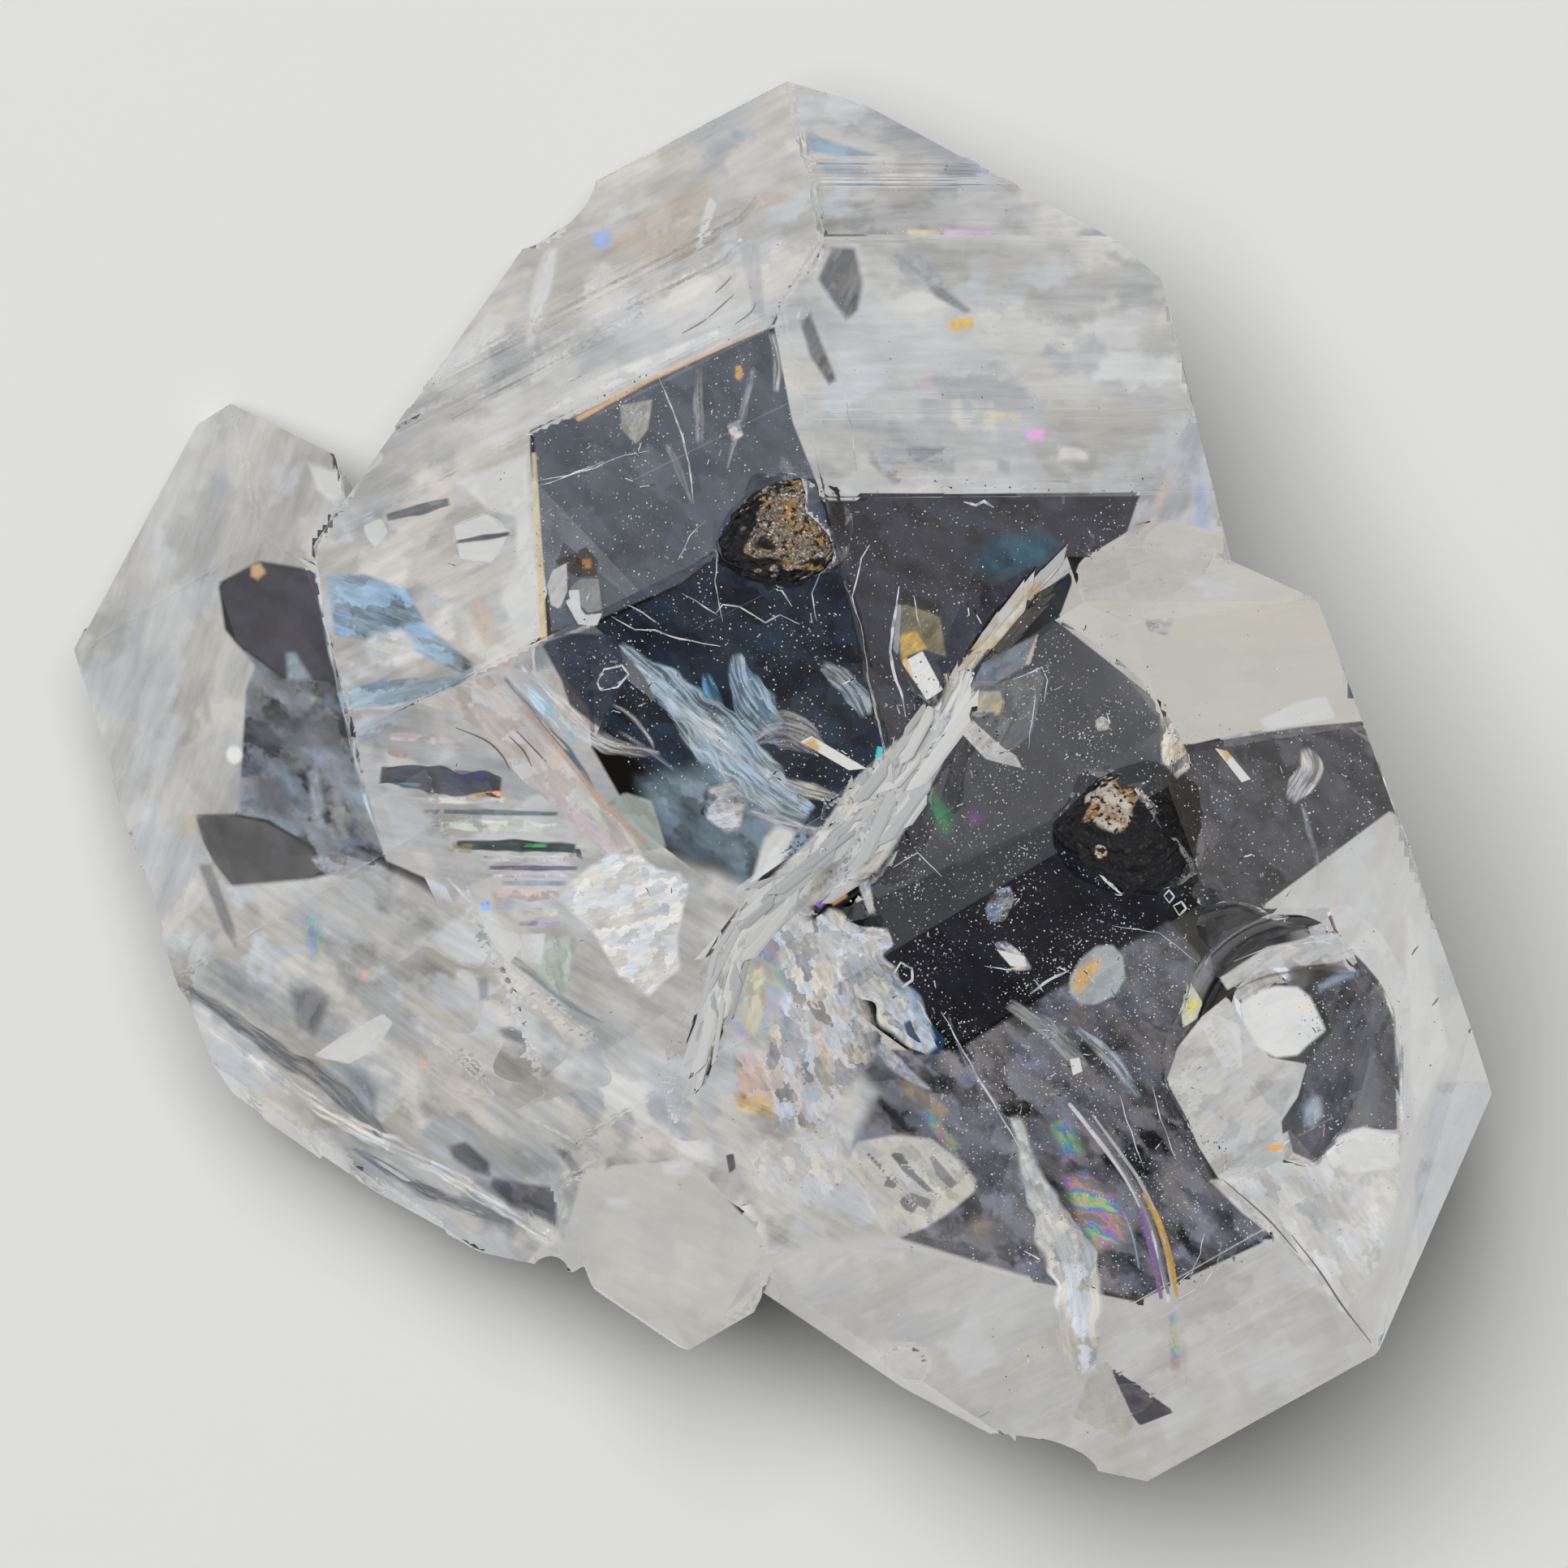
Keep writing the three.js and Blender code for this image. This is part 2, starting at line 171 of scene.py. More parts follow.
SOFT_BOX = 0.40
SOFT_BOX_LIGHT = 8.0
lamp = bpy.data.lights.new("soft_box", "AREA")
lamp.shape = "SQUARE"
lamp.size = SOFT_BOX
lamp.energy = SOFT_BOX_LIGHT * math.pi * SOFT_BOX ** 2
box = add_object("soft_box", lamp)
box.location = (-0.08, 0.12, 0.60)
box.rotation_euler = (-box.location).to_track_quat("-Z", "Y").to_euler()
box.visible_glossy = False
box.visible_transmission = False

scene.cycles.caustics_reflective = False
scene.cycles.caustics_refractive = False
scene.cycles.max_bounces = 24
scene.cycles.transmission_bounces = 24
scene.cycles.glossy_bounces = 12
scene.cycles.diffuse_bounces = 2
scene.cycles.transparent_max_bounces = 48
scene.view_settings.view_transform = "Standard"

# ------------------------------------------------------------------ quartz cluster
# The grown-together crystals are one piece of water-clear quartz. Its faces are flat and
# carry fine growth lines across the long axis; the shell-shaped breaks are smooth.
QUARTZ_IOR = 1.545
LONG_AXIS = Vector((0.209, -0.903, 0.375)).normalized()
WELD = 0.0005 * MM
SAME_PLANE = math.radians(0.4)
SHARP_EDGE = math.radians(20)
BREAK_FACET = 0.35 * MM ** 2
FAINT_LINES = 0.35
LINES_FULL_AT = 0.5
LINES_ALONG = 1000
LINES_ACROSS = 55
LINE_HEIGHT = 0.0013 * MM
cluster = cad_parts["crystal_cluster"]
crystal = bmesh.new()
crystal.from_mesh(cluster.data)
bmesh.ops.remove_doubles(crystal, verts=crystal.verts, dist=WELD)
bmesh.ops.dissolve_limit(
    crystal, angle_limit=SAME_PLANE, verts=crystal.verts, edges=crystal.edges)
growth = crystal.faces.layers.float.new("growth")
for face in crystal.faces:
    face.smooth = face.calc_area() < BREAK_FACET
    tip = -face.normal.dot(LONG_AXIS)
    face[growth] = FAINT_LINES + (1 - FAINT_LINES) * max(0.0, min(1.0, tip / LINES_FULL_AT))
for edge in crystal.edges:
    edge.smooth = len(edge.link_faces) == 2 and edge.calc_face_angle(0) < SHARP_EDGE
quartz_tree = BVHTree.FromBMesh(crystal)
quartz_mesh = bpy.data.meshes.new("quartz_cluster")
crystal.to_mesh(quartz_mesh)
crystal.free()
quartz_piece = add_object("quartz_cluster", quartz_mesh)

quartz, glass, quartz_shader = new_material("clear quartz", {
    "Base Color": (0.985, 0.99, 1.0, 1), "Roughness": 0.0, "IOR": QUARTZ_IOR, "Transmission Weight": 1.0})
place = put(glass, "ShaderNodeTexCoord").outputs["Object"]
up_axis = put(glass, "ShaderNodeVectorMath", {0: place, 1: LONG_AXIS * LINES_ALONG},
              operation="DOT_PRODUCT")
aside = put(glass, "ShaderNodeVectorMath", {0: place, 1: [LINES_ACROSS] * 3}, operation="MULTIPLY")
spread = put(glass, "ShaderNodeSeparateXYZ", {0: aside.outputs[0]})
lined = put(glass, "ShaderNodeCombineXYZ", {
    "X": up_axis.outputs["Value"], "Y": spread.outputs["X"], "Z": spread.outputs["Y"]})
fine_lines = put(glass, "ShaderNodeTexNoise", {"Vector": lined.outputs[0], "Scale": 5.0, "Detail": 4.0})
broad_lines = put(glass, "ShaderNodeTexNoise", {"Vector": lined.outputs[0], "Scale": 0.9, "Detail": 2.0})
relief = plus(glass, fine_lines.outputs["Fac"], times(glass, broad_lines.outputs["Fac"], 3.0))
depth_of_lines = put(glass, "ShaderNodeAttribute", attribute_name="growth").outputs["Fac"]
bump = put(glass, "ShaderNodeBump", {
    "Height": times(glass, relief, depth_of_lines), "Strength": 1.0, "Distance": LINE_HEIGHT})
glass.links.new(bump.outputs["Normal"], quartz_shader.inputs["Normal"])
quartz_mesh.materials.append(quartz)
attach(quartz_piece, "root")
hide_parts("crystal_cluster")

# ------------------------------------------------------------------ sheets in the quartz
# Healed and open cracks, stains and films, and the painted light and shade of faces seen through the
# quartz, are thin sheets a little below the faces; dust and the bed of the seam lie on the faces. Places
# are given as they are seen, across and down from the upper left corner of a frame that is FRAME_STEPS wide.
FRAME_STEPS = 1932
STEP = FRAME_WIDTH / MM / FRAME_STEPS
LEAST_DEPTH = 0.03
ENTRY_GAP = 0.01
FREE_SHARE = 0.8
RIM_HALVINGS = 7
MARGIN_CELLS = 1.5
TORN_AT = 10
BORDER_LIMIT = 4.0
WAVES_PER_MM = 0.8
LEAST_STRIPS = 4
SWAYS_PER_MM = 2.0
RIBBON_RIPPLE = 0.06
RIBBON_WAVES_PER_MM = 1.2
AROUND = ((1, 0), (-1, 0), (0, 1), (0, -1), (1, 1), (1, -1), (-1, 1), (-1, -1))
MID_GREY = (0.5, 0.5, 0.5)
WHITE = (0.62, 0.62, 0.61)
PALE = (0.46, 0.455, 0.45)
BEIGE = (0.53, 0.51, 0.46)
GREY = (0.33, 0.34, 0.36)
COOL = (0.36, 0.42, 0.48)
STEEL = (0.20, 0.31, 0.40)
SMOKE = (0.07, 0.07, 0.08)
AMBER = (0.66, 0.38, 0.12)
MINT = (0.42, 0.50, 0.44)
WARM_TO_COOL = (-0.8, -0.1, 1.0)


def in_view(across_steps, down_steps):
    """A place in the frame, as mm in the plane of focus."""
    return (camera.location.x / MM + (across_steps - FRAME_STEPS / 2) * STEP,
            camera.location.y / MM - (down_steps - FRAME_STEPS / 2) * STEP)


def sight_line(across, up):
    """Where a place in the plane of focus, in mm, is seen on the quartz, and the way inside."""
    way = (Vector((across * MM, up * MM, SHARP_HEIGHT)) - camera.location).normalized()
    spot, out, _, _ = quartz_tree.ray_cast(camera.location, way)
    if spot is None:
        return None, None
    slope = -way.dot(out)
    bend = slope / QUARTZ_IOR - math.sqrt(1 - (1 - slope ** 2) / QUARTZ_IOR ** 2)
    return spot, way / QUARTZ_IOR + out * bend


def sink(across, up, depth):
    """The point that lies this deep, in mm, under the place that is seen; on the face at zero."""
    spot, inward = sight_line(across, up)
    if spot is None:
        return None
    if depth > 0:
        far = quartz_tree.ray_cast(spot + inward * ENTRY_GAP * MM, inward)[3]
        room_below = depth if far is None else FREE_SHARE * far / MM
        depth = max(LEAST_DEPTH, min(depth, room_below))
    return spot + inward * depth * MM


def to_rim(inner, outer):
    """The last place still seen on the quartz, on the way from inner to outer."""
    inner = Vector(inner)
    outer = Vector(outer)
    for _ in range(RIM_HALVINGS):
        middle = (inner + outer) / 2
        if sight_line(*middle)[0] is None:
            outer = middle
        else:
            inner = middle
    return inner


def inset(point, outline):
    """How far a point lies inside an outline, or less than zero outside it."""
    nearest = math.inf
    inside = False
    for (ax, ay), (bx, by) in zip(outline, outline[1:] + outline[:1]):
        dx, dy = bx - ax, by - ay
        part = max(0.0, min(1.0, ((point[0] - ax) * dx + (point[1] - ay) * dy) / (dx * dx + dy * dy)))
        nearest = min(nearest, math.hypot(point[0] - ax - part * dx, point[1] - ay - part * dy))
        if (ay > point[1]) != (by > point[1]) and point[0] < ax + (point[1] - ay) * dx / dy:
            inside = not inside
    return nearest if inside else -nearest


def sheet_layers(bm):
    """The maps that a sheet carries: its flow, soft border, cover, restlessness and tint."""
    uv = bm.loops.layers.uv.get("flow") or bm.loops.layers.uv.new("flow")
    floats = bm.verts.layers.float
    edge, cover, busy = (floats.get(name) or floats.new(name) for name in ("edge", "cover", "busy"))
    vectors = bm.verts.layers.float_vector
    tint = vectors.get("tint") or vectors.new("tint")
    return uv, edge, cover, busy, tint


def mark(vert, layers, border, cover, busy, tint):
    """Gives a vertex of a sheet its maps."""
    for layer, value in zip(layers, (border, cover, busy, Vector(tint))):
        vert[layer] = value


def sheet_faces(bm, uv, grid, columns, rows, longest):
    """Joins a grid of (vertex, flow) pairs, except where it is torn or has gaps."""
    for i in range(columns):
        for j in range(rows):
            corners = [grid.get(key) for key in ((i, j), (i + 1, j), (i + 1, j + 1), (i, j + 1))]
            if None in corners:
                continue
            verts = [corner[0] for corner in corners]
            if max((a.co - b.co).length for a, b in zip(verts, verts[1:] + verts[:1])) > longest:
                continue
            face = bm.faces.new(verts)
            face.smooth = True
            for loop, corner in zip(face.loops, corners):
                loop[uv].uv = corner[1]


def add_sheet(bm, outline, depth, flow=0.0, fade=0.6, cover=1.0, tint=MID_GREY, busy=1.0,
              pitch=0.16, ripple=0.0, seed=0.0):
    """Lays a sheet below the quartz surface, inside an outline given in frame steps.

    flow is the angle of its streaks. The width of its soft border, fade, the size of its
    cells, pitch, and the height of its waves, ripple, are in mm. It ends at the quartz's rim."""
    uv, *layers = sheet_layers(bm)
    outline = [in_view(*point) for point in outline]
    left = min(p[0] for p in outline)
    low = min(p[1] for p in outline)
    columns = math.ceil((max(p[0] for p in outline) - left) / pitch) + 1
    rows = math.ceil((max(p[1] for p in outline) - low) / pitch) + 1
    turn = math.radians(flow)
    places = {}
    for i in range(columns + 1):
        for j in range(rows + 1):
            spot = (left + i * pitch, low + j * pitch)
            within = inset(spot, outline)
            if within > -MARGIN_CELLS * pitch:
                places[i, j] = (spot, within, sight_line(*spot)[0] is not None)
    grid = {}
    for (i, j), (spot, within, seen) in places.items():
        if not seen:
            near = [places[i + a, j + b][0] for a, b in AROUND if places.get((i + a, j + b), (0, 0, 0))[2]]
            if not near:
                continue
            spot = to_rim(near[0], spot)
        across, up = spot
        wave = ripple * noise.noise(Vector((across, up, seed)) * WAVES_PER_MM)
        vert = bm.verts.new(sink(across, up, depth + wave if depth > 0 else 0.0))
        mark(vert, layers, max(-BORDER_LIMIT, min(BORDER_LIMIT, within / fade)), cover, busy, tint)
        grid[i, j] = (vert, (across * math.cos(turn) + up * math.sin(turn),
                             up * math.cos(turn) - across * math.sin(turn)))
    sheet_faces(bm, uv, grid, columns, rows, TORN_AT * pitch * MM)


def curved(points, widths, step):
    """Follows a smooth curve through points in mm: place, direction, half width, run."""
    ends = [2 * points[0] - points[1], *points, 2 * points[-1] - points[-2]]
    track = []
    for index in range(len(points) - 1):
        a, b, c, d = ends[index:index + 4]
        count = max(2, round((c - b).length / step))
        for k in range(count + (index == len(points) - 2)):
            t = k / count
            place_at = 0.5 * (2 * b + (c - a) * t + (2 * a - 5 * b + 4 * c - d) * t ** 2
                              + (3 * b - a - 3 * c + d) * t ** 3)
            track.append((place_at, widths[index] + (widths[index + 1] - widths[index]) * t))
    run = 0.0
    steps = []
    for index, (place_at, half) in enumerate(track):
        before = track[max(0, index - 1)][0]
        after = track[min(len(track) - 1, index + 1)][0]
        run += (place_at - before).length
        steps.append((place_at, (after - before).normalized(), half, run))
    return steps


def add_ribbon(bm, path, widths, depth, cover=1.0, tint=MID_GREY, busy=1.0, fade=0.08,
               pitch=0.07, sway=0.0, seed=0.0):
    """Lays a ribbon along a path. Path and half widths are given in frame steps.

    sway is how far its sides wander, as a share of its half width."""
    uv, *layers = sheet_layers(bm)
    track = curved([Vector(in_view(*point)) for point in path], [w * STEP for w in widths], pitch)
    across_count = max(LEAST_STRIPS, round(2 * max(widths) * STEP / pitch))
    total = track[-1][3]
    grid = {}
    for i, (middle, way, half, run) in enumerate(track):
        aside_way = Vector((-way.y, way.x))
        for j in range(across_count + 1):
            t = 2 * j / across_count - 1
            ragged = 1 + sway * noise.noise(Vector((run * SWAYS_PER_MM, t, seed)))
            spot = middle + aside_way * t * half * ragged
            wave = RIBBON_RIPPLE * noise.noise(Vector((run * RIBBON_WAVES_PER_MM, 2 * t, seed)))
            place_at = sink(spot.x, spot.y, depth + wave if depth > 0 else 0.0)
            if place_at is None:
                continue
            vert = bm.verts.new(place_at)
            border = min((1 - abs(t)) * half, run / 2, (total - run) / 2)
            mark(vert, layers, min(BORDER_LIMIT, border / fade), cover, busy, tint)
            grid[i, j] = (vert, (run, t * half + seed))
    sheet_faces(bm, uv, grid, len(track) - 1, across_count, 2 * TORN_AT * pitch * MM)


def finish_piece(bm, name, material):
    """Turns a mesh into a piece of the part, in its material."""
    loose = [vert for vert in bm.verts if not vert.link_faces]
    bmesh.ops.delete(bm, geom=loose, context="VERTS")
    mesh = bpy.data.meshes.new(name)
    bm.to_mesh(mesh)
    bm.free()
    mesh.materials.append(material)
    piece = add_object(name, mesh)
    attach(piece, "root")
    return piece


def streak_group():
    """Streaks, clouds and patches that follow a sheet's flow map, in mm, and its cover."""
    tree = bpy.data.node_groups.new("streaks", "ShaderNodeTree")
    for name in ("Streak Size", "Stretch", "Cloud Size", "Patch Size", "Softness"):
        tree.interface.new_socket(name, in_out="INPUT", socket_type="NodeSocketFloat").default_value = 1.0
    for name in ("Streaks", "Clouds", "Edge"):
        tree.interface.new_socket(name, in_out="OUTPUT", socket_type="NodeSocketFloat")
    tree.interface.new_socket("Patches", in_out="OUTPUT", socket_type="NodeSocketColor")
    given = tree.nodes.new("NodeGroupInput")
    flow_map = put(tree, "ShaderNodeUVMap", uv_map="flow").outputs["UV"]
    parts = put(tree, "ShaderNodeSeparateXYZ", {0: flow_map})

    def share(value, size):
        return put(tree, "ShaderNodeMath", {0: value, 1: size}, operation="DIVIDE").outputs[0]

    def spread_map(stretch):
        along = share(parts.outputs["X"], stretch)
        return put(tree, "ShaderNodeCombineXYZ", {"X": along, "Y": parts.outputs["Y"]}).outputs[0]

    streaks = put(tree, "ShaderNodeTexNoise", {
        "Vector": spread_map(given.outputs["Stretch"]), "Detail": 5.0, "Roughness": 0.6,
        "Scale": share(1.0, given.outputs["Streak Size"])})
    clouds = put(tree, "ShaderNodeTexNoise", {
        "Vector": spread_map(1.6), "Detail": 4.0, "Roughness": 0.5,
        "Scale": share(1.0, given.outputs["Cloud Size"])})
    patch_size = given.outputs["Patch Size"]
    warp = put(tree, "ShaderNodeTexNoise", {
        "Vector": flow_map, "Scale": share(1.3, patch_size), "Detail": 3.0}).outputs["Color"]
    warp = put(tree, "ShaderNodeVectorMath", {0: warp, "Scale": times(tree, patch_size, 1.5)},
               operation="SCALE").outputs[0]
    warped = put(tree, "ShaderNodeVectorMath", {0: spread_map(1.8), 1: warp}, operation="ADD").outputs[0]
    patches = put(tree, "ShaderNodeTexVoronoi", {
        "Vector": warped, "Scale": share(1.0, patch_size), "Smoothness": given.outputs["Softness"]},
        feature="SMOOTH_F1")
    edge = ramp(tree, put(tree, "ShaderNodeAttribute", attribute_name="edge").outputs["Fac"], 0.0, 1.0)
    cover = put(tree, "ShaderNodeAttribute", attribute_name="cover").outputs["Fac"]
    out = tree.nodes.new("NodeGroupOutput")
    tree.links.new(streaks.outputs["Fac"], out.inputs["Streaks"])
    tree.links.new(clouds.outputs["Fac"], out.inputs["Clouds"])
    tree.links.new(patches.outputs["Color"], out.inputs["Patches"])
    tree.links.new(times(tree, edge, cover), out.inputs["Edge"])
    return tree


streaks_shared = streak_group()


def sheet_material(name, sizes, by_streaks, by_clouds, by_patches, hue, torn):
    """A softly glowing, see-through sheet in its own tint.

    The three by_ shares say how far each pattern moves its brightness, hue how far the
    patches move its colour, and torn how far the streaks open it."""
    material = bpy.data.materials.new(name)
    material.use_nodes = True
    tree = material.node_tree
    shader = tree.nodes["Principled BSDF"]
    pattern = put(tree, "ShaderNodeGroup", node_tree=streaks_shared)
    for key, value in zip(("Streak Size", "Stretch", "Cloud Size", "Patch Size", "Softness"), sizes):
        pattern.inputs[key].default_value = value
    busy = put(tree, "ShaderNodeAttribute", attribute_name="busy").outputs["Fac"]
    tint = put(tree, "ShaderNodeAttribute", attribute_name="tint").outputs["Vector"]
    patches = put(tree, "ShaderNodeSeparateColor", {0: pattern.outputs["Patches"]})

    def swing(value, amount):
        return times(tree, plus(tree, value, -0.5), amount)

    def vector(operation, first, second):
        key = "Scale" if operation == "SCALE" else 1
        return put(tree, "ShaderNodeVectorMath", {0: first, key: second}, operation=operation).outputs[0]

    swings = plus(tree, swing(pattern.outputs["Streaks"], by_streaks),
                  swing(pattern.outputs["Clouds"], by_clouds))
    swings = plus(tree, swings, swing(patches.outputs[0], by_patches))
    level = put(tree, "ShaderNodeMath", {0: plus(tree, times(tree, swings, busy), 1.0), 1: 0.04},
                operation="MAXIMUM").outputs[0]
    drift = vector("SCALE", WARM_TO_COOL, times(tree, swing(patches.outputs[1], hue), busy))
    color = vector("MULTIPLY", vector("ADD", drift, (1.0, 1.0, 1.0)), tint)
    # The emission is painted light and shade: the lamp does not light these sheets, and their glow stands in for
    # the light the quartz shows there.
    tree.links.new(vector("SCALE", color, level), shader.inputs["Emission Color"])
    shader.inputs["Emission Strength"].default_value = 1.0
    open_share = times(tree, times(tree, ramp(tree, pattern.outputs["Streaks"], 0.56, 0.42), busy), torn)
    whole = put(tree, "ShaderNodeMath", {0: 1.0, 1: open_share}, operation="SUBTRACT").outputs[0]
    tree.links.new(times(tree, pattern.outputs["Edge"], whole), shader.inputs["Alpha"])
    shader.inputs["Base Color"].default_value = (0.02, 0.02, 0.02, 1)
    shader.inputs["Specular IOR Level"].default_value = 0.0
    return material


# ------------------------------------------------------------------ veils, painted light and painted shade
# Healed cracks hold sheets of tiny bubbles, which look like milky veils; the same glowing sheets also
# paint the bright light that the facets refract, as painted light. The back faces that show through the
# clear windows are painted shade: dark sheets, a little deeper.
VEIL_AND_PAINTED_LIGHT_DEPTH = 0.34
VEILS_AND_PAINTED_LIGHT = {
    # outline, flow, fade, cover, tint, restlessness
    "main_tip_left": ([(975, 70), (1010, 290), (950, 405), (800, 470), (705, 516), (655, 530),
        (655, 560), (668, 700), (675, 785), (620, 818), (480, 872), (425, 880), (395, 745), (388, 690),
        (372, 650), (410, 580), (590, 270), (720, 175)], 27, 0.06, 0.96, (0.49, 0.485, 0.475), 1.0),
    "main_tip_right": ([(1012, 290), (1375, 285), (1460, 325), (1500, 470), (1478, 520), (1420, 600),
        (1418, 613), (1012, 613), (975, 520), (952, 400)], 0, 0.05, 0.96, (0.50, 0.505, 0.50), 0.7),
    "main_tip_top": ([(975, 70), (1100, 95), (1400, 255), (1375, 292), (1012, 290), (985, 180)],
        5, 0.05, 0.94, (0.41, 0.42, 0.44), 1.3),
    "main_tip_corner": ([(1475, 500), (1500, 480), (1550, 700), (1378, 682), (1402, 612),
        (1420, 590)], 60, 0.05, 0.9, (0.42, 0.43, 0.46), 0.7),
    "right_tip_top": ([(1303, 763), (1330, 690), (1420, 635), (1570, 670), (1680, 720), (1740, 900),
        (1690, 889), (1540, 902), (1470, 918), (1452, 918), (1430, 880), (1405, 838), (1360, 800)],
        10, 0.04, 0.97, BEIGE, 0.14),
    "right_side": ([(1715, 995), (1810, 1150), (1900, 1340), (1850, 1470), (1720, 1700),
        (1650, 1620), (1590, 1530), (1700, 1470), (1725, 1420), (1728, 1250), (1700, 1180),
        (1655, 1120), (1545, 1122)], 70, 0.06, 0.96, (0.54, 0.54, 0.53), 0.3),
    "right_foot": ([(1110, 1535), (1260, 1575), (1400, 1602), (1573, 1521), (1650, 1600),
        (1740, 1680), (1420, 1870), (1150, 1790), (880, 1640), (935, 1545)],
        25, 0.06, 0.96, (0.50, 0.49, 0.475), 0.4),
    "main_foot": ([(690, 1050), (780, 1030), (880, 1060), (1000, 1110), (1030, 1200), (1050, 1290),
        (1095, 1345), (1060, 1410), (1110, 1530), (940, 1550), (900, 1450), (700, 1430), (500, 1280),
        (470, 1130), (480, 1060), (560, 1100)], -30, 0.4, 0.96, (0.50, 0.495, 0.485), 0.9),
    "front_tip": ([(690, 1440), (850, 1425), (940, 1520), (965, 1600), (865, 1720), (620, 1590),
        (690, 1500)], -25, 0.08, 0.97, (0.54, 0.53, 0.50), 0.25),
    "left_outer": ([(290, 450), (480, 560), (420, 640), (393, 706), (320, 694), (272, 720),
        (280, 775), (318, 820), (306, 850), (300, 950), (296, 1006), (244, 1006), (262, 1065),
        (290, 1100), (240, 1240), (60, 1000), (40, 800), (200, 480)], 70, 0.10, 0.96,
        (0.46, 0.46, 0.45), 0.8),
    "left_lower": ([(262, 1090), (380, 1080), (465, 1060), (520, 1090), (640, 1200), (850, 1330),
        (890, 1420), (720, 1450), (690, 1560), (600, 1590), (440, 1500), (210, 1340), (170, 1190)],
        -35, 0.12, 0.96, (0.45, 0.45, 0.44), 1.1),
    "main_left_foot": ([(419, 868), (480, 872), (620, 818), (680, 830), (720, 900), (800, 1040),
        (690, 1050), (560, 1100), (474, 1062), (445, 960)], -10, 0.08, 0.95, PALE, 0.8),
}
PAINTED_SHADE_DEPTH = 0.52
PAINTED_SHADE_LAYER = 0.01
# Painted shade: dark glowing sheets, some tinted blue or teal, stand in for the dark that the windows show.
PAINTED_SHADES = {
    # outline, fade, cover, tint, restlessness
    "upper_window": ([(655, 520), (700, 505), (945, 395), (975, 470), (1010, 605), (1040, 690),
        (890, 680), (840, 720), (680, 790), (668, 700)], 0.06, 0.88, (0.080, 0.093, 0.120), 0.7),
    "central_window": ([(680, 790), (840, 720), (890, 680), (1040, 690), (1090, 900), (1110, 950),
        (1000, 1060), (900, 1040), (800, 960), (700, 850)], 0.1, 0.75, (0.018, 0.028, 0.045), 1.2),
    "central_foot": ([(770, 950), (900, 920), (1010, 1000), (1040, 1050), (1000, 1120), (900, 1100),
        (830, 1070), (790, 1030)], 0.7, 0.85, (0.19, 0.25, 0.30), 1.0),
    "tip_strip": ([(1010, 609), (1405, 609), (1380, 680), (1310, 690), (1240, 760), (1150, 900),
        (1100, 940), (1060, 760)], 0.05, 0.8, (0.040, 0.040, 0.058), 1.0),
    "tip_strip_teal": ([(1210, 650), (1280, 640), (1330, 670), (1310, 700), (1220, 730), (1180, 700)],
        0.5, 0.6, (0.02, 0.10, 0.15), 1.0),
    "right_window": ([(1303, 763), (1384, 828), (1456, 916), (1440, 960), (1300, 1010),
        (1080, 1110), (1060, 1080), (1110, 1040), (1180, 880)], 0.06, 0.7, (0.062, 0.062, 0.072), 0.4),
    "right_far_window": ([(1456, 918), (1655, 886), (1700, 880), (1745, 985), (1540, 1121),
        (1478, 1090), (1460, 1000)], 0.05, 0.8, (0.075, 0.075, 0.088), 1.0),
    "right_black": ([(1080, 1110), (1300, 1010), (1460, 1070), (1440, 1130), (1180, 1290),
        (1060, 1170)], 0.08, 0.8, (0.012, 0.012, 0.018), 0.8),
    "right_low_window": ([(1020, 1290), (1180, 1290), (1440, 1130), (1500, 1200), (1440, 1330),
        (1500, 1460), (1573, 1521), (1400, 1602), (1260, 1575), (1110, 1530), (1045, 1460),
        (1050, 1340)], 0.12, 0.9, (0.120, 0.120, 0.140), 1.6),
    "left_dark": ([(268, 722), (300, 700), (318, 688), (345, 703), (388, 700), (395, 745),
        (412, 838), (350, 835), (290, 790)], 0.05, 0.96, (0.040, 0.036, 0.045), 0.8),
    "left_window": ([(290, 790), (350, 835), (414, 838), (440, 910), (462, 990), (484, 1075),
        (400, 1082), (385, 1045), (330, 1012), (290, 1005), (290, 950), (300, 850)],
        0.08, 0.96, (0.130, 0.145, 0.165), 2.2),
    "left_wedge": ([(228, 1003), (262, 998), (330, 1012), (385, 1045), (400, 1075), (350, 1100),
        (290, 1100), (262, 1065)], 0.08, 0.96, (0.080, 0.076, 0.076), 0.6),
}
veil_and_painted_light_sheets = bmesh.new()
for index, (outline, flow, fade, cover, tint, busy) in enumerate(VEILS_AND_PAINTED_LIGHT.values()):
    add_sheet(veil_and_painted_light_sheets, outline, VEIL_AND_PAINTED_LIGHT_DEPTH, flow, fade, cover, tint, busy, pitch=0.11, ripple=0.04,
              seed=index)
veil_and_painted_light_film = sheet_material("milky veil and painted light", (0.24, 6.0, 1.8, 0.8, 0.6), 0.9, 1.1, 0.6, 0.14, 0.0)
finish_piece(veil_and_painted_light_sheets, "healed_veils_and_painted_light", veil_and_painted_light_film)
painted_shade_sheets = bmesh.new()
for index, (outline, fade, cover, tint, busy) in enumerate(PAINTED_SHADES.values()):
    add_sheet(painted_shade_sheets, outline, PAINTED_SHADE_DEPTH - PAINTED_SHADE_LAYER * index, -40, fade, cover, tint, busy,
              pitch=0.12)
painted_shade_film = sheet_material("painted shade", (0.30, 2.0, 0.9, 0.40, 0.5), 1.2, 1.4, 0.9, 0.14, 0.0)
finish_piece(painted_shade_sheets, "painted_window_shade", painted_shade_film)
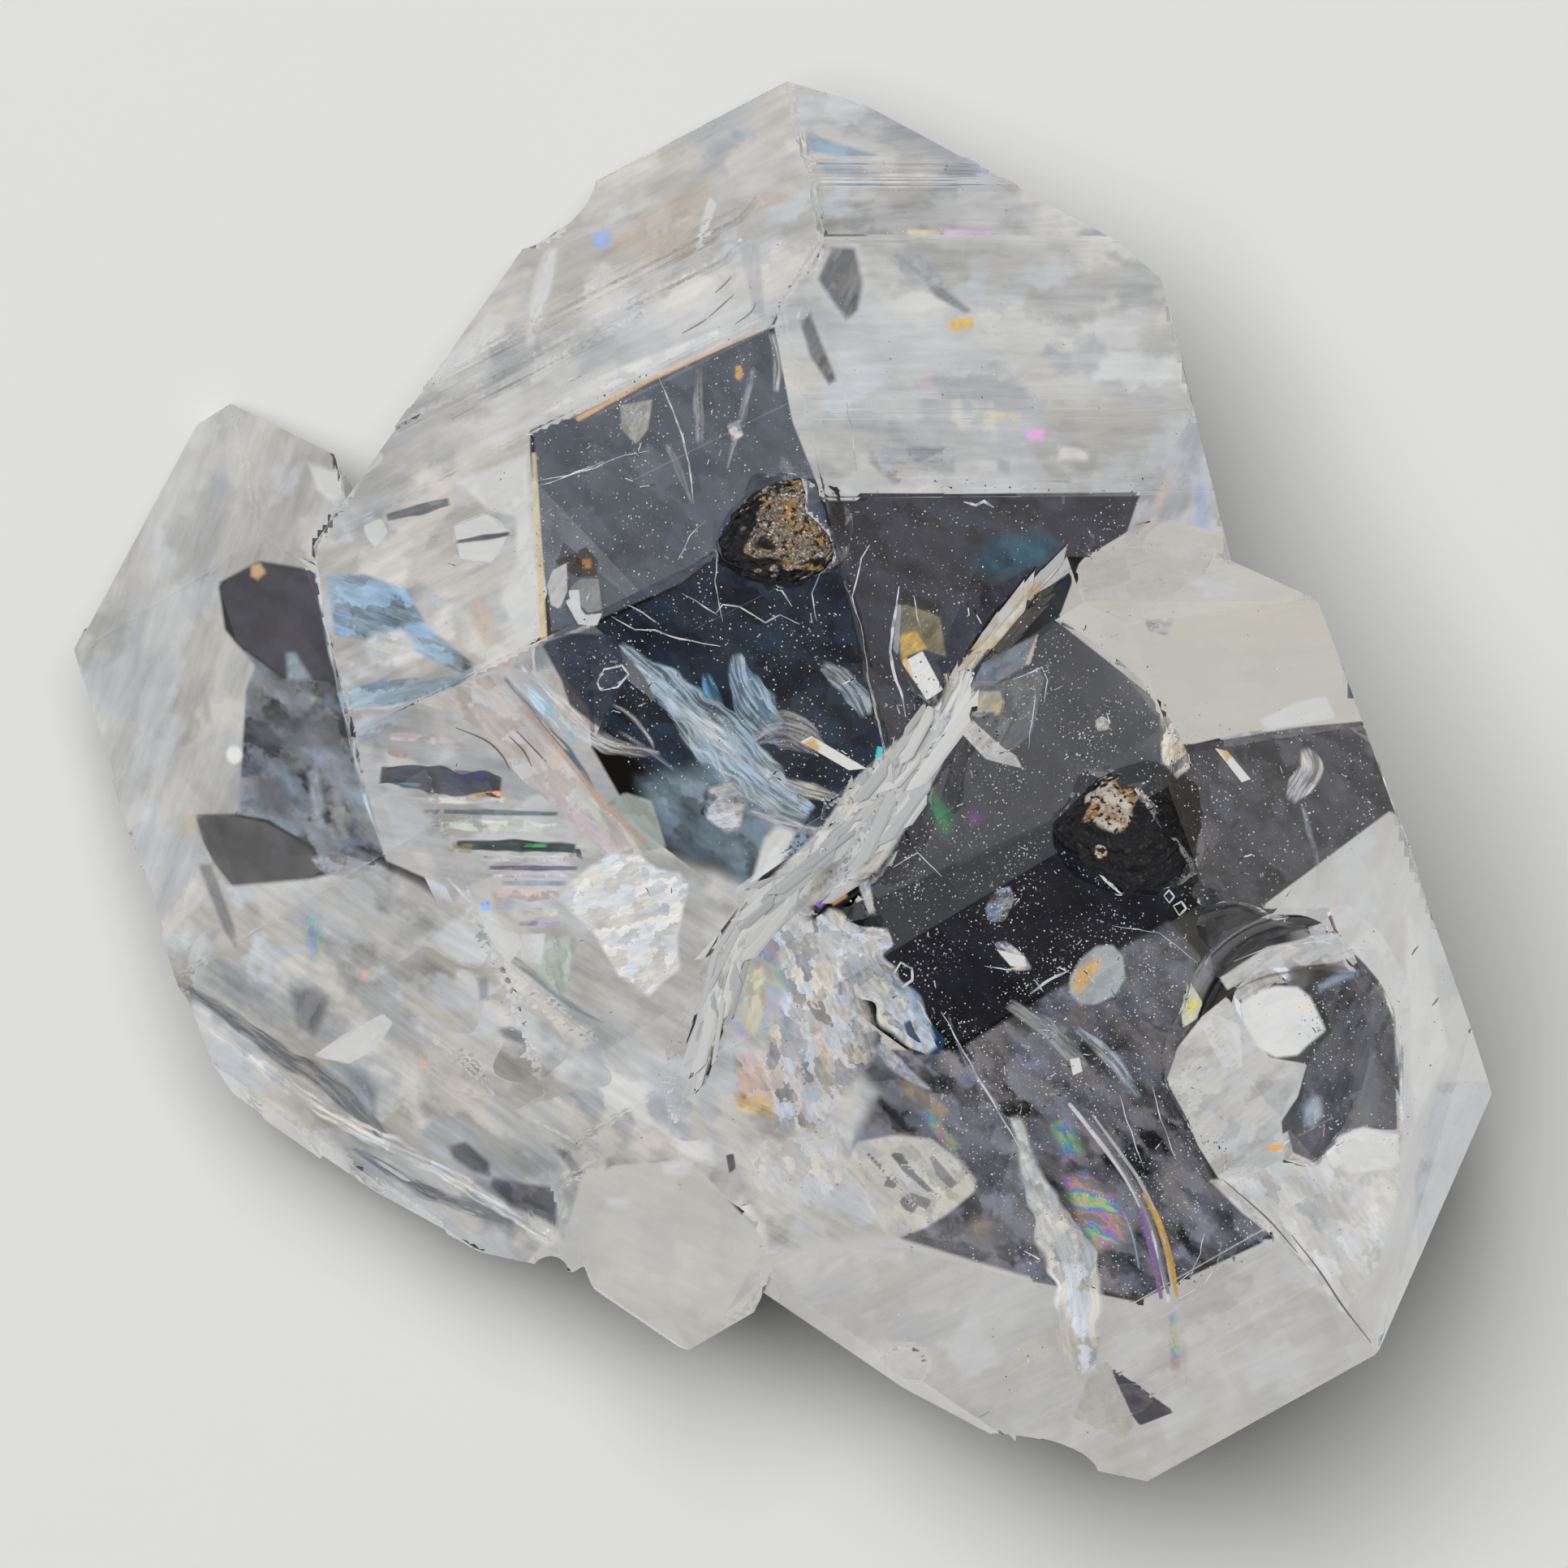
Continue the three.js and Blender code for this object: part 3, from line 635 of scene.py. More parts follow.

# ------------------------------------------------------------------ inner patches
# Faces behind the veils show through them as soft patches of painted light and shade, pale, steel blue, brown and
# dark.
PATCH_DEPTH = 0.24
PATCH_LAYER = 0.001
PATCHES = {
    # outline, flow, fade, cover, tint, restlessness
    "tip_brown": ([(735, 280), (800, 240), (890, 203), (888, 255), (862, 325), (800, 335), (740, 325)],
        30, 0.5, 0.6, (0.50, 0.41, 0.33), 0.8),
    "tip_blue_glint": ([(724, 280), (758, 280), (756, 308), (728, 310)], 0, 0.18, 0.9, (0.28, 0.44, 0.85), 0.2),
    "tip_white_blade": ([(692, 300), (684, 355), (668, 400), (655, 445), (643, 420), (652, 350),
        (668, 305)], 70, 0.15, 0.9, WHITE, 0.3),
    "tip_white_corner": ([(545, 440), (600, 380), (628, 385), (625, 412), (590, 442), (545, 468),
        (515, 482)], 50, 0.15, 0.9, WHITE, 0.3),
    "tip_dark_dash": ([(764, 374), (800, 351), (797, 364), (776, 379)], 30, 0.08, 0.7, GREY, 0.5),
    "tip_white_bar": ([(648, 462), (700, 428), (704, 445), (654, 480)], 32, 0.1, 0.85, WHITE, 0.4),
    "tip_white_fringe": ([(652, 515), (740, 458), (930, 385), (943, 396), (800, 458), (700, 507)],
        26, 0.12, 0.85, WHITE, 0.6),
    "tip_grey_column": ([(903, 290), (938, 300), (946, 395), (924, 388), (916, 340)],
        80, 0.12, 0.6, GREY, 0.6),
    "tip_thin_blade": ([(872, 238), (886, 250), (869, 300), (853, 322), (862, 270)],
        75, 0.08, 0.85, WHITE, 0.3),
    "tip_teal": ([(893, 152), (925, 158), (918, 182), (896, 172)], 0, 0.2, 0.6, STEEL, 0.6),
    "ridge_blade": ([(985, 395), (1012, 300), (1018, 310), (975, 400), (945, 395)],
        70, 0.05, 0.9, WHITE, 0.3),
    "ridge_orange": ([(925, 240), (985, 225), (985, 250), (930, 262)], 8, 0.15, 0.5, (0.58, 0.46, 0.36), 0.6),
    "top_blue_a": ([(986, 150), (1010, 165), (1060, 180), (1100, 195), (1050, 200), (1000, 190)],
        -12, 0.15, 0.8, (0.16, 0.27, 0.36), 1.0),
    "top_blue_b": ([(1015, 200), (1060, 205), (1110, 215), (1060, 222), (1010, 215)],
        -5, 0.12, 0.6, (0.24, 0.32, 0.40), 1.0),
    "top_white": ([(1005, 215), (1120, 208), (1200, 218), (1180, 232), (1060, 238), (1010, 235)],
        -4, 0.15, 0.8, WHITE, 0.5),
    "top_green": ([(1120, 248), (1145, 243), (1160, 256), (1140, 262), (1124, 258)],
        0, 0.12, 0.6, (0.22, 0.26, 0.20), 1.0),
    "top_pink": ([(1130, 198), (1160, 202), (1195, 196), (1192, 210), (1150, 212)],
        -4, 0.1, 0.75, (0.66, 0.44, 0.50), 0.6),
    "top_violet": ([(1195, 203), (1225, 208), (1225, 222), (1200, 218)], 0, 0.1, 0.7, (0.48, 0.48, 0.78), 0.4),
    "edge_yellow": ([(1115, 280), (1160, 282), (1160, 294), (1115, 292)], 0, 0.08, 0.8, (0.66, 0.60, 0.38), 0.6),
    "edge_pink": ([(1160, 280), (1225, 282), (1225, 293), (1162, 294)], 0, 0.08, 0.8, (0.66, 0.44, 0.62), 0.6),
    "corner_dark": ([(1003, 345), (1022, 300), (1056, 302), (1068, 350), (1060, 385), (1042, 400),
        (1020, 370)], 65, 0.15, 0.85, (0.12, 0.125, 0.13), 2.0),
    "corner_dark_low": ([(982, 395), (1000, 380), (1015, 420), (1035, 470), (1020, 478), (995, 440)],
        60, 0.12, 0.85, (0.12, 0.12, 0.13), 2.0),
    "corner_grey": ([(1070, 300), (1140, 305), (1200, 380), (1205, 392), (1150, 370), (1090, 330)],
        -45, 0.25, 0.6, GREY, 1.2),
    "corner_dark_dash": ([(1135, 345), (1160, 350), (1205, 385), (1190, 390), (1150, 368)],
        -40, 0.12, 0.7, (0.20, 0.21, 0.22), 1.2),
    "right_dim_a": ([(1357, 308), (1375, 305), (1398, 325), (1385, 332), (1362, 322)],
        -30, 0.15, 0.6, GREY, 1.0),
    "right_dim_b": ([(1360, 365), (1395, 368), (1392, 390), (1362, 385)], 0, 0.25, 0.4, GREY, 1.0),
    "right_white": ([(1300, 545), (1345, 550), (1345, 572), (1300, 570)], 0, 0.15, 0.7, WHITE, 0.6),
    "right_lines": ([(1065, 545), (1180, 548), (1180, 585), (1100, 600), (1068, 572)],
        0, 0.12, 0.5, GREY, 2.0),
    "right_dim_c": ([(1225, 562), (1248, 566), (1246, 588), (1226, 584)], 0, 0.12, 0.55, GREY, 0.8),
    "corner_amber": ([(1425, 590), (1455, 560), (1446, 610), (1405, 670), (1415, 630)],
        60, 0.2, 0.5, (0.56, 0.44, 0.34), 0.6),
    "corner_blue": ([(1470, 590), (1488, 600), (1495, 660), (1470, 650)], 70, 0.15, 0.6, (0.32, 0.40, 0.58), 0.4),
    "main_white": ([(552, 592), (655, 552), (655, 620), (668, 720), (672, 785), (640, 800),
        (612, 740), (632, 690), (632, 640), (600, 632)], 40, 0.15, 0.9, WHITE, 0.2),
    "hex_inside": ([(557, 647), (600, 632), (631, 655), (607, 694), (566, 690)], 10, 0.05, 0.9, WHITE, 0.2),
    "bar_tail": ([(445, 648), (470, 636), (480, 655), (463, 678), (452, 665)], 20, 0.05, 0.9, WHITE, 0.2),
    "main_brown": ([(574, 738), (592, 730), (612, 750), (616, 795), (600, 805), (578, 775)],
        -70, 0.15, 0.75, (0.52, 0.43, 0.35), 0.4),
    "steel_patch": ([(398, 706), (450, 704), (500, 722), (530, 770), (592, 820), (570, 835),
        (500, 800), (410, 785)], -20, 0.12, 0.85, STEEL, 2.2),
    "steel_white": ([(443, 792), (460, 775), (500, 770), (520, 800), (480, 830), (450, 815)],
        -15, 0.2, 0.85, WHITE, 0.8),
    "steel_band": ([(412, 852), (470, 836), (560, 830), (604, 815), (560, 852), (490, 870),
        (422, 876)], 12, 0.08, 0.8, STEEL, 2.0),
    "steel_foot": ([(430, 885), (520, 866), (480, 900), (442, 922)], 15, 0.12, 0.7, COOL, 1.2),
    "outer_blue": ([(266, 562), (280, 548), (287, 600), (272, 628), (255, 622)], 80, 0.2, 0.6, COOL, 0.6),
    "outer_white": ([(372, 562), (400, 572), (442, 588), (412, 626), (388, 606)], -30, 0.15, 0.9, WHITE, 0.2),
    "outer_ring": ([(160, 765), (178, 772), (172, 800), (156, 795)], 60, 0.2, 0.5, COOL, 0.8),
    "outer_dim": ([(243, 830), (262, 848), (264, 900), (248, 892)], 85, 0.15, 0.6, GREY, 0.8),
    "outer_orange": ([(222, 1000), (240, 985), (245, 1030), (228, 1040)], 60, 0.2, 0.6, (0.60, 0.46, 0.36), 0.6),
    "glow_spot": ([(280, 918), (290, 915), (299, 920), (302, 931), (298, 941), (288, 945), (279, 940),
        (275, 929)], 0, 0.10, 1.0, (0.74, 0.74, 0.72), 0.1),
    "window_smear_a": ([(348, 800), (366, 800), (392, 842), (350, 842)], 60, 0.15, 0.75, COOL, 0.8),
    "window_smear_b": ([(374, 950), (393, 938), (406, 1000), (386, 1022)], 80, 0.15, 0.6, COOL, 0.8),
    "window_smear_c": ([(410, 960), (430, 985), (426, 1032), (406, 1010)], 80, 0.15, 0.55, GREY, 0.8),
    "window_deep_a": ([(300, 870), (370, 860), (425, 880), (430, 940), (380, 930), (310, 930)],
        20, 0.3, 0.6, SMOKE, 1.6),
    "window_deep_b": ([(300, 950), (355, 950), (370, 1020), (320, 1005)], 70, 0.25, 0.6, SMOKE, 1.4),
    "grey_oval": ([(378, 1056), (410, 1045), (452, 1060), (466, 1076), (430, 1086), (395, 1076)],
        -10, 0.08, 0.85, GREY, 1.2),
    "lower_dark_streak": ([(238, 1060), (262, 1062), (292, 1140), (297, 1182), (274, 1150)],
        -65, 0.12, 0.8, (0.16, 0.16, 0.17), 0.8),
    "lower_dark_smear": ([(350, 1215), (390, 1210), (412, 1235), (404, 1262), (388, 1288),
        (362, 1272)], 75, 0.25, 0.85, (0.18, 0.18, 0.19), 1.0),
    "lower_dim": ([(405, 1300), (450, 1310), (472, 1340), (468, 1385), (450, 1378), (425, 1340)],
        -60, 0.25, 0.75, (0.22, 0.24, 0.27), 1.0),
    "lower_white": ([(382, 1302), (420, 1275), (472, 1247), (486, 1260), (466, 1292), (430, 1312)],
        30, 0.05, 0.95, WHITE, 0.15),
    "lower_teal": ([(584, 1202), (604, 1200), (606, 1236), (588, 1236)], 80, 0.12, 0.7,
        (0.16, 0.20, 0.23), 0.8),
    "lower_grey": ([(604, 1265), (630, 1261), (650, 1270), (662, 1292), (640, 1291), (618, 1281)],
        -20, 0.14, 0.85, (0.20, 0.21, 0.22), 0.6),
    "lower_orange_a": ([(441, 1192), (459, 1192), (459, 1211), (441, 1211)], 0, 0.14, 0.8,
        (0.74, 0.50, 0.38), 0.2),
    "lower_orange_b": ([(508, 1302), (530, 1302), (532, 1326), (512, 1328)], 80, 0.15, 0.7,
        (0.58, 0.44, 0.36), 0.4),
    "foot_dark_a": ([(546, 1410), (575, 1402), (606, 1430), (610, 1456), (580, 1447), (556, 1430)],
        -30, 0.14, 0.9, (0.10, 0.10, 0.11), 1.2),
    "foot_dark_b": ([(604, 1446), (640, 1453), (690, 1460), (690, 1520), (664, 1504), (628, 1490),
        (600, 1464)], -40, 0.14, 0.9, (0.10, 0.10, 0.12), 1.2),
    "foot_dark_c": ([(672, 1406), (702, 1416), (728, 1452), (702, 1446)], -45, 0.12, 0.8,
        (0.15, 0.15, 0.16), 1.2),
    "tip_spot": ([(740, 1470), (780, 1472), (782, 1492), (745, 1490)], -10, 0.15, 0.8, WHITE, 0.2),
    "tip_spot_high": ([(810, 1430), (860, 1425), (850, 1455), (815, 1450)], 0, 0.15, 0.8, WHITE, 0.2),
    "facet_pink": ([(505, 866), (612, 826), (650, 870), (700, 930), (745, 990), (800, 1040),
        (765, 1052), (745, 1056), (700, 1010), (640, 960), (590, 900), (560, 880)],
        -48, 0.05, 0.94, (0.53, 0.49, 0.47), 0.7),
    "facet_mint": ([(690, 965), (725, 975), (760, 1015), (735, 1020)], -45, 0.2, 0.6, MINT, 0.5),
    "facet_rose": ([(655, 950), (690, 975), (770, 1048), (748, 1054), (700, 1010)],
        -45, 0.15, 0.6, (0.58, 0.46, 0.56), 0.5),
    "facet_lobe": ([(742, 990), (770, 974), (805, 985), (824, 1046), (790, 1052), (760, 1012)],
        -50, 0.08, 0.88, (0.33, 0.36, 0.34), 0.6),
    "foot_triangle": ([(588, 1132), (640, 1150), (646, 1166), (626, 1192), (602, 1160)],
        -40, 0.05, 0.95, WHITE, 0.15),
    "foot_mint": ([(658, 1160), (706, 1148), (706, 1200), (692, 1232), (660, 1202)],
        -70, 0.1, 0.75, MINT, 0.8),
    "foot_white": ([(640, 1150), (674, 1148), (668, 1192), (640, 1182)], -70, 0.06, 0.8, WHITE, 0.4),
    "seam_white": ([(925, 1075), (938, 1030), (955, 1012), (986, 1022), (962, 1075), (930, 1132),
        (903, 1142)], 60, 0.15, 0.95, WHITE, 0.5),
    "foot_olive": ([(915, 1190), (945, 1185), (950, 1240), (930, 1285), (912, 1270)],
        75, 0.15, 0.75, (0.48, 0.46, 0.32), 1.2),
    "foot_salmon": ([(900, 1295), (985, 1280), (1000, 1330), (965, 1385), (905, 1360)],
        -60, 0.2, 0.75, (0.60, 0.44, 0.38), 1.4),
    "foot_ochre": ([(900, 1345), (955, 1350), (960, 1385), (905, 1370)], -20, 0.12, 0.8, (0.52, 0.40, 0.20), 1.4),
    "foot_orange": ([(1000, 1255), (1012, 1262), (1030, 1310), (1015, 1318), (1000, 1290)],
        -65, 0.1, 0.9, (0.80, 0.52, 0.32), 1.0),
    "foot_brown": ([(1010, 1225), (1045, 1200), (1050, 1245), (1030, 1270)], 60, 0.1, 0.7,
        (0.20, 0.19, 0.21), 1.2),
    "foot_violet": ([(975, 1180), (1000, 1170), (1010, 1240), (985, 1230)], 80, 0.15, 0.6,
        (0.40, 0.40, 0.46), 1.2),
    "window_brown_a": ([(1095, 1322), (1130, 1325), (1180, 1370), (1160, 1385), (1110, 1350)],
        -40, 0.2, 0.6, (0.34, 0.26, 0.16), 1.2),
    "window_brown_b": ([(1190, 1490), (1230, 1500), (1225, 1540), (1190, 1530)], 0, 0.3, 0.5,
        (0.26, 0.21, 0.17), 1.2),
    "tip_lens": ([(1462, 715), (1490, 708), (1530, 722), (1520, 740), (1480, 738)],
        5, 0.12, 0.9, (0.60, 0.64, 0.68), 0.2),
    "tip_upper_plane": ([(1330, 695), (1420, 640), (1570, 675), (1650, 740), (1560, 742),
        (1335, 742)], 8, 0.05, 0.5, (0.47, 0.46, 0.43), 0.3),
    "tip_scuff": ([(1405, 760), (1450, 762), (1440, 785), (1415, 782)], 0, 0.1, 0.6, GREY, 2.0),
    "tip_bright": ([(1548, 886), (1600, 862), (1634, 855), (1650, 886), (1560, 902)],
        8, 0.08, 0.95, WHITE, 0.1),
    "side_shade": ([(1770, 1330), (1850, 1330), (1790, 1470), (1745, 1560), (1740, 1450)],
        70, 0.12, 0.7, (0.42, 0.43, 0.46), 0.5),
    "side_bright": ([(1728, 1110), (1760, 1150), (1790, 1300), (1740, 1400), (1728, 1250)],
        80, 0.15, 0.8, WHITE, 0.15),
    "foot_beige": ([(1345, 1682), (1366, 1676), (1400, 1755), (1386, 1774), (1320, 1748)],
        -60, 0.05, 0.95, (0.44, 0.43, 0.39), 0.3),
    "foot_black": ([(1364, 1680), (1382, 1692), (1450, 1740), (1404, 1758), (1394, 1745)],
        -40, 0.04, 0.95, (0.07, 0.065, 0.085), 0.8),
    "chip_plate": ([(1436, 1332), (1450, 1290), (1480, 1252), (1512, 1226), (1545, 1275),
        (1565, 1302), (1612, 1310), (1600, 1352), (1580, 1382), (1584, 1430), (1562, 1442),
        (1540, 1478), (1500, 1452), (1475, 1412), (1458, 1372)], 35, 0.04, 0.97, (0.50, 0.50, 0.49), 0.5),
    "chip_plate_pale": ([(1478, 1262), (1500, 1248), (1530, 1262), (1532, 1318), (1505, 1316)],
        -70, 0.05, 0.7, WHITE, 0.4),
    "chip_plate_dim": ([(1540, 1330), (1600, 1325), (1580, 1380), (1558, 1360)], 60, 0.08, 0.5, GREY, 0.5),
    "chip_dome": ([(1524, 1236), (1545, 1222), (1570, 1212), (1600, 1213), (1616, 1226), (1626, 1246),
        (1637, 1270), (1613, 1290), (1600, 1303), (1570, 1306), (1548, 1292), (1530, 1262)],
        20, 0.10, 1.0, (0.70, 0.70, 0.69), 0.15),
    "dome_peach": ([(1590, 1234), (1615, 1231), (1618, 1247), (1594, 1249)], 0, 0.14, 0.7,
        (0.80, 0.66, 0.52), 0.3),
    "right_fringe": ([(1632, 1112), (1650, 1100), (1657, 1130), (1649, 1157), (1640, 1140)],
        80, 0.14, 0.6, (0.66, 0.52, 0.42), 0.4),
    "chip_band": ([(1500, 1205), (1560, 1165), (1640, 1148), (1688, 1172), (1645, 1188),
        (1560, 1196), (1512, 1222)], 20, 0.06, 0.85, (0.52, 0.52, 0.51), 0.8),
    "chip_black": ([(1466, 1075), (1500, 1110), (1560, 1130), (1622, 1141), (1560, 1160),
        (1510, 1196), (1492, 1190), (1482, 1130)], 35, 0.05, 0.9, (0.03, 0.03, 0.035), 1.5),
    "rim_white": ([(1636, 1118), (1660, 1112), (1704, 1150), (1738, 1210), (1742, 1285), (1723, 1290),
        (1716, 1245), (1700, 1212), (1680, 1188), (1650, 1160)], 60, 0.05, 0.95,
        (0.58, 0.58, 0.57), 0.2),
    "chip_window": ([(1612, 1212), (1645, 1198), (1684, 1195), (1704, 1216), (1719, 1260),
        (1723, 1394), (1668, 1392), (1645, 1412), (1620, 1434), (1592, 1421), (1585, 1394),
        (1602, 1356), (1609, 1312), (1626, 1284), (1640, 1270), (1628, 1238)],
        70, 0.05, 0.88, (0.085, 0.085, 0.100), 1.4),
    "chip_blue": ([(1618, 1212), (1650, 1195), (1684, 1191), (1674, 1206), (1642, 1217),
        (1624, 1229)], 10, 0.14, 0.8, (0.24, 0.30, 0.38), 0.8),
    "chip_haze": ([(1602, 1362), (1615, 1342), (1632, 1348), (1635, 1376), (1618, 1396),
        (1602, 1388)], 60, 0.2, 0.8, COOL, 0.8),
    "chip_foot": ([(1576, 1428), (1600, 1430), (1622, 1434), (1645, 1412), (1668, 1393), (1725, 1396),
        (1728, 1460), (1700, 1560), (1655, 1625), (1600, 1550), (1530, 1497), (1484, 1452),
        (1540, 1447)], -55, 0.08, 0.95, (0.56, 0.56, 0.55), 0.6),
    "chip_foot_bright": ([(1640, 1400), (1680, 1385), (1725, 1396), (1722, 1440), (1660, 1450)],
        0, 0.1, 0.85, (0.68, 0.68, 0.67), 0.2),
    "yellow_rim": ([(1466, 1208), (1483, 1235), (1475, 1256), (1457, 1268), (1454, 1243)],
        50, 0.03, 0.95, (0.60, 0.62, 0.46), 0.4),
    "yellow_core": ([(1466, 1222), (1478, 1236), (1472, 1250), (1461, 1250)], 50, 0.04, 0.95,
        (0.84, 0.74, 0.12), 0.3),
    "flake": ([(1316, 1225), (1316, 1204), (1330, 1180), (1350, 1163), (1372, 1162), (1386, 1178),
        (1389, 1205), (1376, 1228), (1350, 1240), (1330, 1240)], 40, 0.08, 0.9, (0.40, 0.43, 0.44), 0.6),
    "flake_core": ([(1316, 1220), (1320, 1194), (1346, 1176), (1368, 1182), (1350, 1208), (1332, 1232)],
        40, 0.22, 0.95, (0.66, 0.42, 0.16), 0.5),
    "slant_plane": ([(1378, 1172), (1448, 1132), (1486, 1180), (1478, 1240), (1440, 1290),
        (1385, 1240)], 35, 0.3, 0.45, (0.17, 0.17, 0.19), 1.0),
    "crystal_frame": ([(1040, 1440), (1052, 1405), (1100, 1396), (1148, 1400), (1184, 1428),
        (1206, 1452), (1203, 1470), (1170, 1498), (1140, 1516), (1108, 1528), (1088, 1522),
        (1072, 1496), (1054, 1466)], -48, 0.10, 0.93, (0.52, 0.51, 0.47), 0.6),
    "crystal_dark_a": ([(1062, 1418), (1072, 1420), (1108, 1456), (1104, 1466), (1086, 1462),
        (1092, 1452)], -48, 0.04, 0.85, (0.14, 0.14, 0.14), 0.8),
    "crystal_dark_b": ([(1093, 1418), (1112, 1420), (1128, 1444), (1170, 1484), (1140, 1468),
        (1112, 1444)], -48, 0.04, 0.85, (0.14, 0.14, 0.14), 0.8),
    "crystal_dark_c": ([(1143, 1424), (1150, 1422), (1184, 1460), (1170, 1466), (1152, 1448)],
        -48, 0.05, 0.8, (0.19, 0.19, 0.20), 0.8),
    "crystal_dark_d": ([(1106, 1478), (1122, 1468), (1150, 1478), (1142, 1492), (1130, 1486),
        (1128, 1498), (1112, 1490)], -40, 0.04, 0.85, (0.14, 0.14, 0.14), 0.8),
    "crystal_dark_e": ([(1178, 1432), (1190, 1438), (1202, 1458), (1194, 1454)], -50, 0.04, 0.8,
        (0.14, 0.17, 0.18), 0.8),
    "dark_corner": ([(664, 792), (700, 778), (760, 780), (775, 830), (745, 905), (700, 870),
        (690, 840)], -40, 0.08, 0.9, (0.03, 0.04, 0.06), 1.0),
    "hole_a": ([(1110, 1258), (1140, 1252), (1168, 1280), (1160, 1300), (1125, 1302)],
        -40, 0.06, 0.9, (0.010, 0.035, 0.075), 1.0),
    "hole_b": ([(1054, 1276), (1080, 1268), (1090, 1278), (1072, 1294)], 20, 0.05, 0.85,
        (0.012, 0.04, 0.09), 1.0),
}
patch_sheets = bmesh.new()
for index, (outline, flow, fade, cover, tint, busy) in enumerate(PATCHES.values()):
    add_sheet(patch_sheets, outline, PATCH_DEPTH - PATCH_LAYER * index, flow, fade, cover, tint, busy,
              pitch=0.075)
FRACTURE_PATH = [(1248, 1372), (1260, 1405), (1268, 1440), (1286, 1480), (1300, 1515), (1320, 1555),
    (1330, 1600), (1330, 1650), (1340, 1700)]
FRACTURE_HALF_WIDTHS = [8, 12, 12, 22, 28, 34, 30, 28, 10]
FRACTURE_DEPTH = 0.10
add_ribbon(patch_sheets, FRACTURE_PATH, FRACTURE_HALF_WIDTHS, FRACTURE_DEPTH, 0.95,
           (0.56, 0.56, 0.55), 1.2, fade=0.12, sway=0.4)
painted_glow_film = sheet_material("inner patch", (0.12, 6.0, 0.8, 0.30, 0.3), 0.9, 1.0, 0.6, 0.14, 0.0)
finish_piece(patch_sheets, "inner_painted_light_and_shade", painted_glow_film)

# ------------------------------------------------------------------ striped planes
# Thin parallel films show through the left of the main crystal as dark and tinted bars.
BAR_DEPTH = 0.16
BARS = {
    # left end, right end, half height, cover, tint
    "rose": ((478, 907), (570, 914), 8, 0.7, (0.56, 0.50, 0.47)),
    "brown": ((476, 925), (505, 930), 8, 0.6, (0.30, 0.22, 0.16)),
    "dusk": ((466, 954), (620, 970), 18, 0.92, (0.055, 0.060, 0.075)),
    "violet_end": ((556, 953), (602, 960), 8, 0.7, (0.07, 0.04, 0.14)),
    "teal_end": ((482, 962), (520, 966), 6, 0.7, (0.12, 0.24, 0.30)),
    "white_a": ((500, 986), (625, 986), 6, 0.8, WHITE),
    "amber_end": ((576, 981), (616, 977), 5, 0.8, (0.56, 0.38, 0.18)),
    "fire_spot": ((604, 979), (620, 978), 6, 0.9, (0.90, 0.40, 0.20)),
    "teal": ((520, 999), (690, 1003), 5, 0.85, (0.10, 0.16, 0.18)),
    "mint": ((540, 1016), (692, 1020), 9, 0.8, (0.50, 0.54, 0.50)),
    "dark_green": ((560, 1040), (712, 1045), 9, 0.95, (0.045, 0.060, 0.060)),
    "green": ((630, 1043), (676, 1043), 5, 0.9, (0.06, 0.30, 0.10)),
    "olive_end": ((556, 1042), (584, 1046), 9, 0.6, (0.40, 0.36, 0.14)),
    "white_b": ((590, 1058), (700, 1058), 6, 0.9, WHITE),
    "indigo": ((600, 1069), (714, 1070), 5, 0.9, (0.16, 0.14, 0.24)),
    "white_c": ((606, 1079), (700, 1079), 5, 0.9, (0.60, 0.58, 0.64)),
    "slate": ((616, 1088), (702, 1088), 5, 0.8, (0.32, 0.38, 0.44)),
    "clay": ((610, 1101), (692, 1103), 9, 0.8, (0.50, 0.42, 0.39)),
    "white_d": ((640, 1123), (690, 1124), 7, 0.95, WHITE),
    "lilac": ((638, 1138), (692, 1138), 5, 0.85, (0.44, 0.38, 0.50)),
    "blue_spot": ((590, 1117), (606, 1117), 7, 0.85, (0.20, 0.38, 0.80)),
    "hex_bar": ((560, 668), (631, 657), 5, 0.95, SMOKE),
    "slanted_bar": ((474, 638), (556, 618), 8, 0.92, (0.13, 0.14, 0.15)),
}
bar_sheets = bmesh.new()
for index, (start, end, half, cover, tint) in enumerate(BARS.values()):
    middle = ((start[0] + end[0]) / 2, (start[1] + end[1]) / 2)
    add_ribbon(bar_sheets, [start, middle, end], [0.7 * half, half, 0.8 * half], BAR_DEPTH, cover, tint,
               1.2, fade=0.05, pitch=0.05, sway=0.5, seed=index)
finish_piece(bar_sheets, "striped_planes", painted_glow_film)
